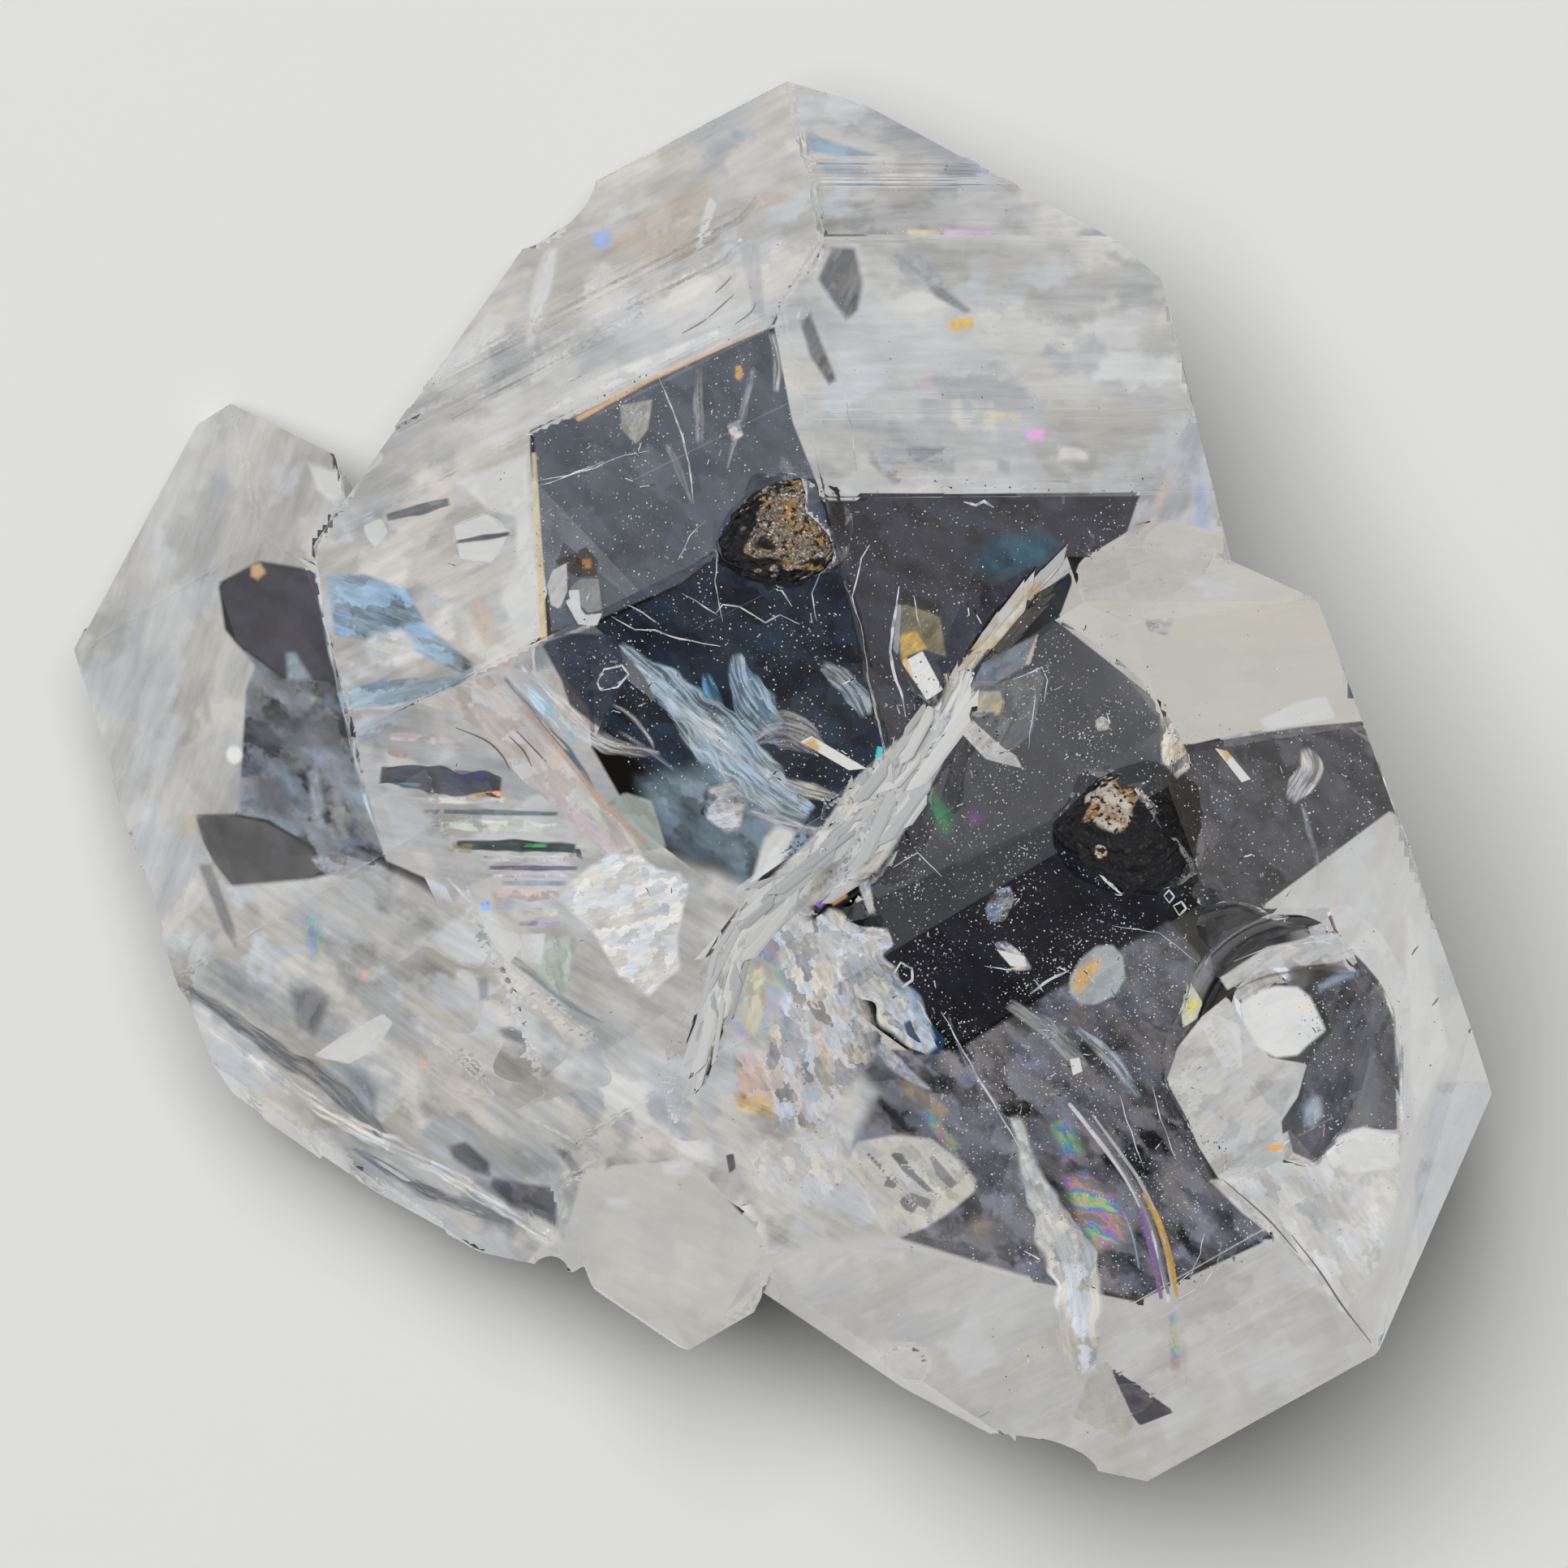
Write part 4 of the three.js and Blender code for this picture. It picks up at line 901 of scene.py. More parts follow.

# ------------------------------------------------------------------ feathers
# Open cracks spread like feathers along the way they ran; their silvery sheen is a painted reflection.
FEATHER_DEPTH = 0.30
FEATHERS = {
    # path, half widths, cover, tint
    "long_wisp": ([(762, 792), (820, 842), (880, 900), (935, 955), (1000, 1005)],
        [4, 20, 34, 30, 12], 0.9, (0.34, 0.43, 0.50)),
    "long_wisp_core": ([(780, 815), (850, 880), (915, 930), (985, 990)], [4, 12, 16, 6], 0.8,
        (0.46, 0.51, 0.54)),
    "low_wisp": ([(812, 850), (855, 910), (905, 960), (965, 1005)], [5, 14, 18, 8], 0.7, COOL),
    "upright_wisp": ([(907, 803), (915, 840), (935, 875), (962, 900)], [6, 20, 28, 14], 0.85,
        (0.32, 0.42, 0.49)),
    "upright_shade": ([(925, 850), (945, 875), (968, 905)], [5, 12, 10], 0.7, (0.10, 0.17, 0.23)),
    "blue_wisp": ([(868, 828), (876, 850), (888, 872)], [5, 11, 6], 0.9, (0.14, 0.34, 0.50)),
    "side_wisp": ([(1012, 818), (1035, 835), (1055, 858), (1068, 885)], [8, 16, 16, 8], 0.75, COOL),
    "pale_patch": ([(925, 915), (955, 900), (985, 905), (1015, 925)], [8, 22, 24, 10], 0.7, GREY),
    "upper_streak": ([(640, 815), (690, 872), (745, 915), (815, 930)], [6, 13, 14, 4], 0.85, PALE),
    "blue_streak": ([(640, 840), (680, 880), (712, 915)], [5, 12, 6], 0.85, (0.36, 0.54, 0.68)),
    "orange_streak": ([(668, 828), (705, 855), (735, 905)], [5, 9, 5], 0.7, (0.46, 0.34, 0.25)),
    "dark_streak": ([(618, 832), (655, 878), (700, 930), (735, 980)], [5, 9, 10, 4], 0.85,
        (0.05, 0.09, 0.14)),
    "hook": ([(742, 862), (775, 880), (800, 910), (806, 926)], [3, 4, 4, 2], 0.95, PALE),
    "scrap_wisp": ([(760, 900), (800, 925), (832, 950)], [3, 6, 3], 0.6, GREY),
    "low_bright": ([(960, 960), (1000, 975), (1045, 985)], [6, 12, 5], 0.8, PALE),
    "low_bright_b": ([(920, 998), (975, 1015), (1040, 1035)], [4, 9, 5], 0.85, PALE),
    "veil_crystal": ([(1607, 920), (1616, 945), (1602, 968), (1590, 990)], [6, 17, 18, 6], 0.95, PALE),
    "veil_tail": ([(1603, 990), (1612, 1020), (1622, 1055), (1625, 1100)], [3, 5, 4, 3], 0.8, GREY),
    "hanging_left": ([(862, 448), (860, 500), (862, 548)], [5, 8, 6], 0.85, GREY),
    "hanging_mid": ([(928, 450), (915, 510), (895, 580)], [5, 7, 3], 0.7, GREY),
    "hanging_right": ([(950, 408), (958, 450), (956, 485)], [5, 8, 5], 0.8, PALE),
    "hanging_low": ([(822, 545), (838, 580), (853, 622)], [6, 7, 3], 0.6, GREY),
    "hanging_tail": ([(965, 560), (970, 585), (960, 600)], [6, 9, 4], 0.6, GREY),
    "outer_line": ([(228, 1215), (280, 1250), (340, 1295), (400, 1332), (455, 1382), (475, 1402)],
        [5, 10, 13, 15, 12, 6], 0.95, (0.12, 0.13, 0.14)),
    "outer_line_low": ([(432, 1412), (480, 1442), (530, 1470), (580, 1488), (636, 1510)],
        [4, 9, 11, 11, 5], 0.9, (0.13, 0.14, 0.16)),
    "outer_pale": ([(255, 1262), (400, 1368), (540, 1440), (680, 1530)], [7, 12, 12, 8], 0.85, WHITE),
    "boundary_dark": ([(585, 1133), (612, 1166), (652, 1197), (700, 1236), (745, 1262)],
        [3, 6, 7, 6, 3], 0.85, (0.15, 0.20, 0.20)),
    "boundary_white": ([(548, 1078), (575, 1105), (600, 1130)], [3, 5, 3], 0.9, WHITE),
    "window_border": ([(392, 705), (402, 780), (425, 880), (452, 990), (478, 1064)], [3, 4, 4, 5, 3],
        0.85, (0.46, 0.52, 0.56)),
    "chip_streak_a": ([(1508, 1192), (1545, 1160), (1610, 1140)], [4, 7, 3], 0.85, PALE),
    "chip_streak_b": ([(1496, 1170), (1530, 1145), (1575, 1132)], [2, 5, 2], 0.7, GREY),
    "chip_arc": ([(1508, 1228), (1560, 1203), (1640, 1192), (1672, 1200)], [2, 4, 4, 2], 0.9,
        (0.09, 0.08, 0.075)),
    "chip_arc_inner": ([(1524, 1236), (1560, 1214), (1600, 1206)], [1.5, 3, 1.5], 0.8, (0.20, 0.17, 0.14)),
    "chip_rim": ([(1672, 1196), (1708, 1232), (1724, 1290), (1727, 1400)], [3, 5, 5, 4], 0.9, WHITE),
    "haze_wisp_a": ([(1240, 1235), (1290, 1268), (1340, 1318)], [8, 15, 8], 0.6, GREY),
    "haze_wisp_b": ([(1325, 1265), (1370, 1305), (1405, 1355)], [6, 12, 5], 0.7, COOL),
    "fracture_root": ([(1168, 1250), (1190, 1308), (1235, 1372)], [2, 3, 5], 0.9, GREY),
}
feather_sheets = bmesh.new()
for index, (path, widths, cover, tint) in enumerate(FEATHERS.values()):
    add_ribbon(feather_sheets, path, widths, FEATHER_DEPTH, cover, tint, sway=0.5, seed=index)
feather = sheet_material("silvery crack", (0.08, 12.0, 0.7, 0.3, 0.3), 2.2, 1.0, 0.5, 0.2, 0.55)
finish_piece(feather_sheets, "silvery_feathers", feather)

# ------------------------------------------------------------------ shattered quartz
# Where the quartz is shattered, small bright and dark facets lie side by side, their light and shade painted into
# the glow.
SHATTER_DEPTH = 0.12
SHATTERED = {
    # outline, flow, fade, cover, tint, restlessness
    "white_patch": ([(683, 1108), (700, 1085), (728, 1062), (752, 1048), (790, 1050), (812, 1068),
        (840, 1072), (852, 1090), (845, 1120), (838, 1160), (842, 1195), (820, 1212), (800, 1232),
        (775, 1215), (760, 1205), (745, 1180), (728, 1150), (700, 1125)],
        20, 0.12, 0.97, (0.70, 0.70, 0.69), 0.6),
    "white_scrap": ([(870, 968), (905, 960), (922, 985), (915, 1020), (895, 1032), (868, 1010)],
        10, 0.12, 0.85, PALE, 1.4),
    "seam_foot": ([(940, 1130), (1000, 1125), (1040, 1180), (1078, 1240), (1090, 1292), (1060, 1340),
        (1010, 1400), (950, 1400), (930, 1300), (960, 1220)], -65, 0.3, 0.8, (0.44, 0.44, 0.44), 1.5),
    "seam_foot_low": ([(900, 1400), (1050, 1380), (1060, 1470), (1000, 1500), (920, 1480)],
        -50, 0.4, 0.6, (0.54, 0.53, 0.52), 0.8),
    "cream_scrap": ([(762, 498), (806, 490), (800, 530), (784, 550), (764, 530)], 60, 0.06, 0.75,
        (0.38, 0.37, 0.33), 0.8),
    "white_specks": ([(893, 522), (912, 515), (918, 538), (902, 546)], 0, 0.06, 0.85, PALE, 1.4),
    "grain_side": ([(1426, 885), (1440, 878), (1462, 920), (1470, 945), (1450, 962), (1430, 940)],
        70, 0.08, 0.95, PALE, 1.6),
    "right_speck": ([(1348, 888), (1358, 881), (1369, 888), (1366, 900), (1352, 902)],
        0, 0.03, 0.95, BEIGE, 1.2),
    "fragment_ring": ([(1212, 1120), (1225, 1096), (1245, 1090), (1252, 1108), (1240, 1135), (1220, 1140)],
        20, 0.06, 0.6, COOL, 2.0),
    "fragment_low": ([(1222, 1160), (1240, 1158), (1262, 1175), (1275, 1195), (1250, 1198), (1232, 1178)],
        -45, 0.05, 0.9, PALE, 1.6),
    "knob": ([(1035, 1128), (1060, 1140), (1095, 1142), (1103, 1165), (1086, 1180), (1050, 1162)],
        -10, 0.06, 0.95, (0.50, 0.50, 0.49), 1.2),
}
CRUSHED = {
    # path, half widths, cover, tint
    "feathery_band": ([(1010, 1125), (1048, 1165), (1085, 1215), (1120, 1262), (1150, 1298)],
        [14, 26, 30, 26, 10], 0.95, (0.52, 0.53, 0.53)),
    "feathery_blue": ([(1090, 1195), (1125, 1235), (1152, 1285)], [4, 14, 6], 0.8, (0.26, 0.36, 0.44)),
    "feathery_fan": ([(1078, 1285), (1110, 1318), (1150, 1345)], [12, 10, 3], 0.85, (0.42, 0.43, 0.48)),
    "seam_side": ([(1060, 1062), (1066, 1095), (1075, 1130)], [7, 9, 6], 0.9, (0.44, 0.44, 0.44)),
}
shattered_sheets = bmesh.new()
for index, (outline, flow, fade, cover, tint, busy) in enumerate(SHATTERED.values()):
    add_sheet(shattered_sheets, outline, SHATTER_DEPTH, flow, fade, cover, tint, busy, pitch=0.06,
              ripple=0.05, seed=160 + index)
for index, (path, widths, cover, tint) in enumerate(CRUSHED.values()):
    add_ribbon(shattered_sheets, path, widths, SHATTER_DEPTH, cover, tint, 1.0, sway=0.6, seed=index)
shatter = sheet_material("shattered quartz", (0.10, 3.0, 0.5, 0.24, 0.02), 1.0, 0.6, 0.7, 0.25, 0.12)
finish_piece(shattered_sheets, "shattered_quartz", shatter)

# ------------------------------------------------------------------ iron stains and tints
# Iron-rich water left thin ochre films in the cracks; a few spots of a pure colour are painted glints and glows
# of light.
STAIN_DEPTH = 0.09
STAIN_LAYER = 0.001
STAINS = {
    # outline, fade, cover, tint, restlessness
    "notch": ([(1108, 745), (1125, 740), (1160, 760), (1168, 812), (1136, 801), (1108, 815)],
        0.06, 0.85, (0.20, 0.18, 0.11), 1.6),
    "notch_dark": ([(1106, 722), (1120, 728), (1160, 745), (1158, 760), (1126, 750), (1112, 745)],
        0.05, 0.92, (0.02, 0.02, 0.022), 1.0),
    "notch_amber": ([(1106, 782), (1130, 775), (1146, 800), (1130, 806), (1108, 815)],
        0.08, 0.9, (0.52, 0.34, 0.10), 1.4),
    "notch_side": ([(1104, 742), (1112, 745), (1108, 812), (1099, 800)], 0.04, 0.85, GREY, 0.6),
    "tablet_face": ([(1188, 858), (1278, 822), (1289, 836), (1272, 905), (1246, 928), (1180, 888)],
        0.05, 0.6, (0.17, 0.175, 0.18), 1.2),
    "tablet_yellow": ([(1178, 872), (1200, 850), (1234, 850), (1240, 872), (1205, 886)],
        0.06, 0.8, (0.46, 0.42, 0.32), 0.8),
    "tablet_spot": ([(1220, 862), (1234, 858), (1236, 882), (1224, 884)], 0.08, 0.8, (0.50, 0.38, 0.18), 0.8),
    "upper_wedge": ([(1192, 850), (1210, 815), (1281, 778), (1268, 820), (1230, 842)],
        0.06, 0.6, (0.26, 0.29, 0.33), 1.2),
    "upper_wedge_edge": ([(1262, 820), (1276, 782), (1281, 779), (1270, 820)], 0.03, 0.8,
        (0.56, 0.46, 0.36), 0.4),
    "top_spot": ([(1166, 393), (1200, 388), (1203, 404), (1172, 411)], 0.08, 0.95, (0.68, 0.46, 0.14), 0.6),
    "grain_spot": ([(905, 450), (914, 448), (918, 462), (912, 472), (904, 466)], 0.06, 0.95, AMBER, 0.6),
    "plate_arc": ([(1554, 1402), (1562, 1410), (1578, 1410), (1584, 1406), (1580, 1416), (1565, 1419)],
        0.02, 1.0, (0.78, 0.40, 0.08), 0.3),
    "left_spot": ([(306, 694), (322, 690), (332, 706), (318, 718), (306, 712)], 0.12, 0.9,
        (0.62, 0.40, 0.20), 0.4),
    "green_glow": ([(1135, 978), (1152, 962), (1182, 1000), (1180, 1032), (1158, 1036), (1140, 1010)],
        0.45, 0.9, (0.05, 0.26, 0.11), 0.2),
    "purple_glow": ([(1182, 998), (1206, 990), (1222, 1010), (1200, 1026), (1184, 1018)],
        0.35, 0.7, (0.20, 0.09, 0.22), 0.2),
    "cyan_glint": ([(1076, 942), (1080, 918), (1090, 920), (1084, 944)], 0.04, 1.0, (0.06, 0.58, 0.62), 0.2),
    "violet_spot": ([(1000, 1112), (1014, 1100), (1022, 1110), (1010, 1122)], 0.06, 0.95,
        (0.22, 0.10, 0.62), 0.3),
    "amber_spot": ([(1018, 1104), (1040, 1090), (1047, 1106), (1026, 1118)], 0.06, 0.9,
        (0.46, 0.26, 0.10), 0.8),
    "pink_spot": ([(1258, 526), (1292, 524), (1290, 548), (1262, 546)], 0.16, 0.9, (0.78, 0.42, 0.72), 0.3),
    "green_edge": ([(1195, 508), (1215, 505), (1212, 522), (1196, 522)], 0.12, 0.6, (0.34, 0.52, 0.44), 0.4),
    "yellow_edge": ([(1215, 503), (1262, 508), (1260, 522), (1216, 520)], 0.12, 0.7, (0.66, 0.60, 0.38), 0.4),
    "pink_dash": ([(1132, 465), (1150, 462), (1152, 482), (1134, 482)], 0.14, 0.6, (0.62, 0.42, 0.48), 0.4),
    "group_dark": ([(680, 690), (700, 684), (722, 672), (738, 690), (736, 710), (712, 712), (700, 706)],
        0.04, 0.92, (0.035, 0.025, 0.02), 1.0),
    "group_orange": ([(714, 688), (730, 686), (730, 702), (716, 702)], 0.06, 0.9, (0.34, 0.15, 0.04), 0.8),
    "group_left": ([(678, 746), (673, 722), (680, 702), (699, 692), (700, 728), (690, 752)],
        0.03, 0.95, (0.50, 0.50, 0.49), 0.4),
    "group_right": ([(702, 724), (714, 712), (738, 712), (743, 752), (724, 756), (706, 738)],
        0.03, 0.85, (0.24, 0.25, 0.26), 0.6),
    "group_foot": ([(695, 740), (706, 736), (722, 757), (744, 754), (736, 772), (712, 770)],
        0.03, 0.95, WHITE, 0.4),
    "fringe_side": ([(653, 556), (662, 556), (676, 786), (664, 790)], 0.06, 0.85, (0.62, 0.52, 0.30), 0.4),
    "fringe_top": ([(705, 514), (800, 464), (938, 402), (936, 410), (800, 473), (712, 522)],
        0.06, 0.85, (0.66, 0.44, 0.22), 0.6),
    "fringe_facet": ([(640, 868), (648, 866), (745, 985), (802, 1038), (795, 1044), (735, 988)],
        0.05, 0.8, (0.50, 0.34, 0.24), 0.5),
    "fringe_tip": ([(1378, 680), (1386, 676), (1425, 644), (1418, 642)], 0.04, 0.6, (0.62, 0.48, 0.32), 0.4),
    "crystal_blot": ([(893, 1422), (905, 1420), (908, 1440), (898, 1448)], 0.04, 0.9, SMOKE, 0.8),
    "tablet_white": ([(1110, 816), (1137, 801), (1163, 850), (1142, 864)], 0.03, 1.0,
        (0.70, 0.70, 0.69), 0.3),
    "tablet_stain": ([(1108, 812), (1118, 806), (1124, 822), (1130, 840), (1122, 836), (1114, 824)],
        0.06, 0.85, (0.62, 0.42, 0.14), 1.0),
    "seam_tablet": ([(1182, 884), (1200, 888), (1236, 920), (1252, 930), (1262, 948), (1236, 942),
        (1214, 936), (1183, 903)], 0.03, 0.95, (0.50, 0.50, 0.50), 0.8),
    "group_middle": ([(699, 726), (714, 726), (718, 764), (706, 758)], 0.03, 0.95, WHITE, 0.4),
}
stain_sheets = bmesh.new()
for index, (outline, fade, cover, tint, busy) in enumerate(STAINS.values()):
    add_sheet(stain_sheets, outline, STAIN_DEPTH - STAIN_LAYER * index, 45, fade, cover, tint, busy,
              pitch=0.05)
stain_film = sheet_material("iron stain", (0.08, 4.0, 0.35, 0.2, 0.4), 0.9, 0.9, 0.4, 0.15, 0.0)
finish_piece(stain_sheets, "iron_stains", stain_film)

# ------------------------------------------------------------------ dark veins
# A few dark veins cross the pale faces as thin lines.
VEIN_DEPTH = 0.05
VEINS = {
    "pink_facet_a": [(626, 906), (645, 925), (656, 946)],
    "pink_facet_b": [(636, 900), (660, 925), (674, 940)],
    "pink_facet_c": [(560, 896), (598, 912), (618, 930), (628, 948)],
    "tip_hatch_a": [(880, 362), (893, 350), (902, 340)],
    "tip_hatch_b": [(872, 392), (890, 376), (905, 362)],
    "tip_hatch_c": [(905, 400), (925, 385), (932, 372)],
    "tip_hatch_d": [(838, 412), (860, 400), (872, 392)],
    "plate_line": [(1505, 1452), (1560, 1500), (1600, 1545)],
    "chip_crack": [(1590, 1520), (1625, 1565), (1655, 1610), (1690, 1655)],
    "side_speck": [(1739, 1178), (1743, 1171), (1748, 1165)],
    "side_speck_low": [(1764, 1240), (1769, 1234), (1773, 1228)],
}
vein_sheets = bmesh.new()
for index, path in enumerate(VEINS.values()):
    add_ribbon(vein_sheets, path, [0.8] + [1.5] * (len(path) - 2) + [0.8], VEIN_DEPTH, 0.9,
               (0.12, 0.11, 0.10), 0.6, fade=0.01, pitch=0.05, seed=index)
finish_piece(vein_sheets, "dark_veins", stain_film)

# ------------------------------------------------------------------ rainbow cracks
# Where a crack is thinner than a wave of light it shows rainbow colours, in bands that
# follow its width.
RAINBOW_DEPTH = 0.18
RAINBOWS = {
    # outline, flow, fade, cover
    "bright_patch": ([(1300, 1445), (1340, 1436), (1378, 1468), (1404, 1512), (1398, 1535),
        (1350, 1550), (1325, 1512)], -30, 0.30, 1.0),
    "upper_patch": ([(1285, 1385), (1318, 1365), (1345, 1425), (1310, 1440)], -60, 0.25, 0.6),
    "foot_streak": ([(1436, 1618), (1450, 1612), (1458, 1690), (1440, 1692)], -80, 0.12, 0.6),
    "seam_foot": ([(880, 1150), (980, 1140), (1020, 1230), (1000, 1300), (890, 1300)], -50, 0.5, 0.35),
    "crystal_side": ([(1120, 1360), (1150, 1370), (1190, 1415), (1170, 1425)], -45, 0.1, 0.5),
    "left_tint": ([(360, 1110), (400, 1120), (412, 1190), (375, 1195)], 80, 0.3, 0.45),
    "left_low_tint": ([(600, 1095), (640, 1100), (636, 1130), (605, 1128)], 0, 0.2, 0.4),
    "white_patch_tint": ([(735, 1130), (760, 1132), (762, 1150), (738, 1150)], 0, 0.1, 0.7),
    "white_patch_low": ([(790, 1180), (835, 1182), (830, 1210), (795, 1208)], 0, 0.15, 0.35),
}
STRIPES = {
    # path, half widths, cover, tint
    "outer_white": ([(1316, 1358), (1350, 1400), (1388, 1452), (1412, 1500), (1428, 1550), (1440, 1606)],
        [3, 4, 4, 4, 3, 3], 0.95, WHITE),
    "inner_white": ([(1345, 1372), (1380, 1420), (1408, 1462), (1432, 1520), (1446, 1598)],
        [2, 3, 3, 3, 2], 0.9, PALE),
    "shade": ([(1336, 1376), (1372, 1420), (1402, 1470), (1424, 1530), (1440, 1596)],
        [3, 5, 5, 5, 3], 0.8, (0.17, 0.16, 0.19)),
    "violet": ([(1404, 1486), (1414, 1520), (1424, 1560), (1431, 1602)], [3, 5, 5, 3], 0.9,
        (0.22, 0.13, 0.30)),
    "orange": ([(1408, 1468), (1426, 1502), (1441, 1550), (1451, 1600)], [3, 5, 5, 3], 0.9,
        (0.52, 0.32, 0.06)),
    "cyan": ([(1384, 1492), (1396, 1525), (1404, 1565)], [1.5, 2, 1.5], 0.7, (0.26, 0.48, 0.52)),
}
rainbow_sheets = bmesh.new()
for index, (outline, flow, fade, cover) in enumerate(RAINBOWS.values()):
    add_sheet(rainbow_sheets, outline, RAINBOW_DEPTH, flow, fade, cover, pitch=0.06, ripple=0.03,
              seed=240 + index)
film = bpy.data.materials.new("rainbow film")
film.use_nodes = True
film_tree = film.node_tree
film_shader = film_tree.nodes["Principled BSDF"]
film_pattern = put(film_tree, "ShaderNodeGroup", node_tree=streaks_shared)
for key, value in (("Streak Size", 0.45), ("Stretch", 2.0), ("Cloud Size", 0.5), ("Patch Size", 0.4),
                   ("Softness", 0.6)):
    film_pattern.inputs[key].default_value = value
bands = put(film_tree, "ShaderNodeValToRGB", {"Fac": ramp(
    film_tree, film_pattern.outputs["Streaks"], 0.34, 0.66)})
RAINBOW = [(0.0, (0.20, 0.20, 0.22)), (0.16, (0.44, 0.30, 0.16)), (0.30, (0.42, 0.16, 0.42)),
           (0.44, (0.12, 0.18, 0.60)), (0.56, (0.05, 0.42, 0.50)), (0.68, (0.14, 0.44, 0.16)),
           (0.84, (0.50, 0.46, 0.24)), (1.0, (0.40, 0.26, 0.36))]
for stop, _ in RAINBOW[1:-1]:
    bands.color_ramp.elements.new(stop)
for element, (stop, color) in zip(bands.color_ramp.elements, RAINBOW):
    element.position = stop
    element.color = (*color, 1)
film_tree.links.new(film_pattern.outputs["Edge"], film_shader.inputs["Alpha"])
# The bands glow: the colours that the thin crack reflects are painted as emission, a painted reflection.
film_tree.links.new(bands.outputs["Color"], film_shader.inputs["Emission Color"])
film_shader.inputs["Emission Strength"].default_value = 1.0
film_shader.inputs["Base Color"].default_value = (0.02, 0.02, 0.02, 1)
film_shader.inputs["Specular IOR Level"].default_value = 0.0
finish_piece(rainbow_sheets, "rainbow_films", film)
stripe_sheets = bmesh.new()
for index, (path, widths, cover, tint) in enumerate(STRIPES.values()):
    add_ribbon(stripe_sheets, path, widths, 0.14 - 0.01 * index, cover, tint, 0.5, fade=0.03,
               pitch=0.045, seed=index)
finish_piece(stripe_sheets, "striped_crack", stain_film)

# ------------------------------------------------------------------ hair cracks
# Fine healed cracks run as pale, branching hairs just under the faces.
HAIRS = {
    # points, radius
    "below_grain_a": ([(885, 676), (881, 717), (886, 741), (891, 766)], 0.012),
    "below_grain_b": ([(754, 760), (782, 775), (807, 776), (839, 787), (888, 797)], 0.018),
    "below_grain_c": ([(774, 746), (792, 755), (810, 767)], 0.014),
    "below_grain_d": ([(839, 731), (860, 741), (881, 755), (891, 745), (912, 748), (944, 767),
        (961, 757), (986, 769)], 0.018),
    "below_grain_e": ([(937, 703), (961, 724), (977, 748)], 0.014),
    "below_grain_f": ([(1017, 692), (1000, 731), (1007, 766)], 0.012),
    "below_grain_g": ([(1072, 671), (1060, 689), (1051, 734), (1056, 755)], 0.018),
    "thin_line": ([(1160, 1247), (1190, 1300), (1230, 1370), (1257, 1413)], 0.02),
    "worm": ([(1187, 618), (1203, 623), (1213, 617), (1225, 625)], 0.03),
    "notch_edge": ([(1108, 722), (1102, 760), (1097, 804), (1105, 840), (1117, 883)], 0.03),
    "notch_branch": ([(1125, 735), (1130, 760), (1136, 775)], 0.015),
    "tablet_line": ([(1040, 715), (1060, 770), (1072, 840), (1085, 900), (1095, 960)], 0.006),
    "tablet_rim": ([(1248, 838), (1283, 822), (1290, 838), (1287, 866)], 0.014),
    "tablet_side": ([(1276, 845), (1272, 885), (1267, 925)], 0.010),
    "white_sliver": ([(1303, 1032), (1330, 1052), (1360, 1078), (1382, 1102)], 0.055),
    "fringe_a": ([(660, 600), (720, 580), (770, 560), (800, 555)], 0.012),
    "fringe_b": ([(662, 592), (700, 585), (745, 568)], 0.01),
    "window_lath": ([(812, 465), (835, 520), (850, 570), (855, 620)], 0.02),
    "grain_root": ([(870, 640), (850, 660), (835, 690)], 0.01),
    "upper_line": ([(1040, 480), (1050, 530), (1055, 575), (1060, 600)], 0.01),
    "scratch_a": ([(1453, 1600), (1480, 1585), (1500, 1560), (1505, 1530)], 0.012),
    "scratch_b": ([(1445, 1590), (1465, 1570), (1480, 1545), (1483, 1520)], 0.01),
    "fragment": ([(1213, 1190), (1240, 1195), (1262, 1190)], 0.015),
    "scratch_arc": ([(1370, 1140), (1430, 1150), (1480, 1190)], 0.008),
    "glow_arc": ([(1100, 1070), (1130, 1050), (1160, 1080)], 0.012),
    "scratch_c": ([(1380, 1350), (1395, 1400), (1410, 1440)], 0.014),
    "scratch_d": ([(1420, 1340), (1430, 1380), (1450, 1430)], 0.012),
    "hex_mark": ([(557, 647), (600, 632), (631, 655), (607, 694), (566, 690), (557, 647)], 0.010),
    "ring_right": ([(1100, 1200), (1110, 1186), (1124, 1192), (1124, 1208), (1112, 1217),
        (1100, 1200)], 0.030),
    "ring_chip_a": ([(1446, 1116), (1455, 1110), (1461, 1119), (1453, 1127), (1446, 1116)], 0.022),
    "ring_chip_b": ([(1433, 1103), (1440, 1096), (1447, 1104), (1440, 1112), (1433, 1103)], 0.022),
    "ring_wisp": ([(736, 842), (745, 824), (766, 820), (774, 830), (760, 846), (742, 850),
        (736, 842)], 0.026),
    "chip_ripple": ([(1520, 1185), (1560, 1168), (1630, 1160), (1680, 1172)], 0.014),
    "flake_line": ([(1270, 1224), (1290, 1210), (1316, 1196)], 0.030),
    "flake_cross": ([(1276, 1208), (1286, 1222)], 0.022),
}
HAIR_STEP = 0.09
HAIR_SWAY = 0.035
HAIR_DEPTH = 0.08
hair_curve = bpy.data.curves.new("hair_cracks", "CURVE")
hair_curve.dimensions = "3D"
hair_curve.bevel_depth = 1.0
hair_curve.bevel_resolution = 0
hair_curve.use_fill_caps = True
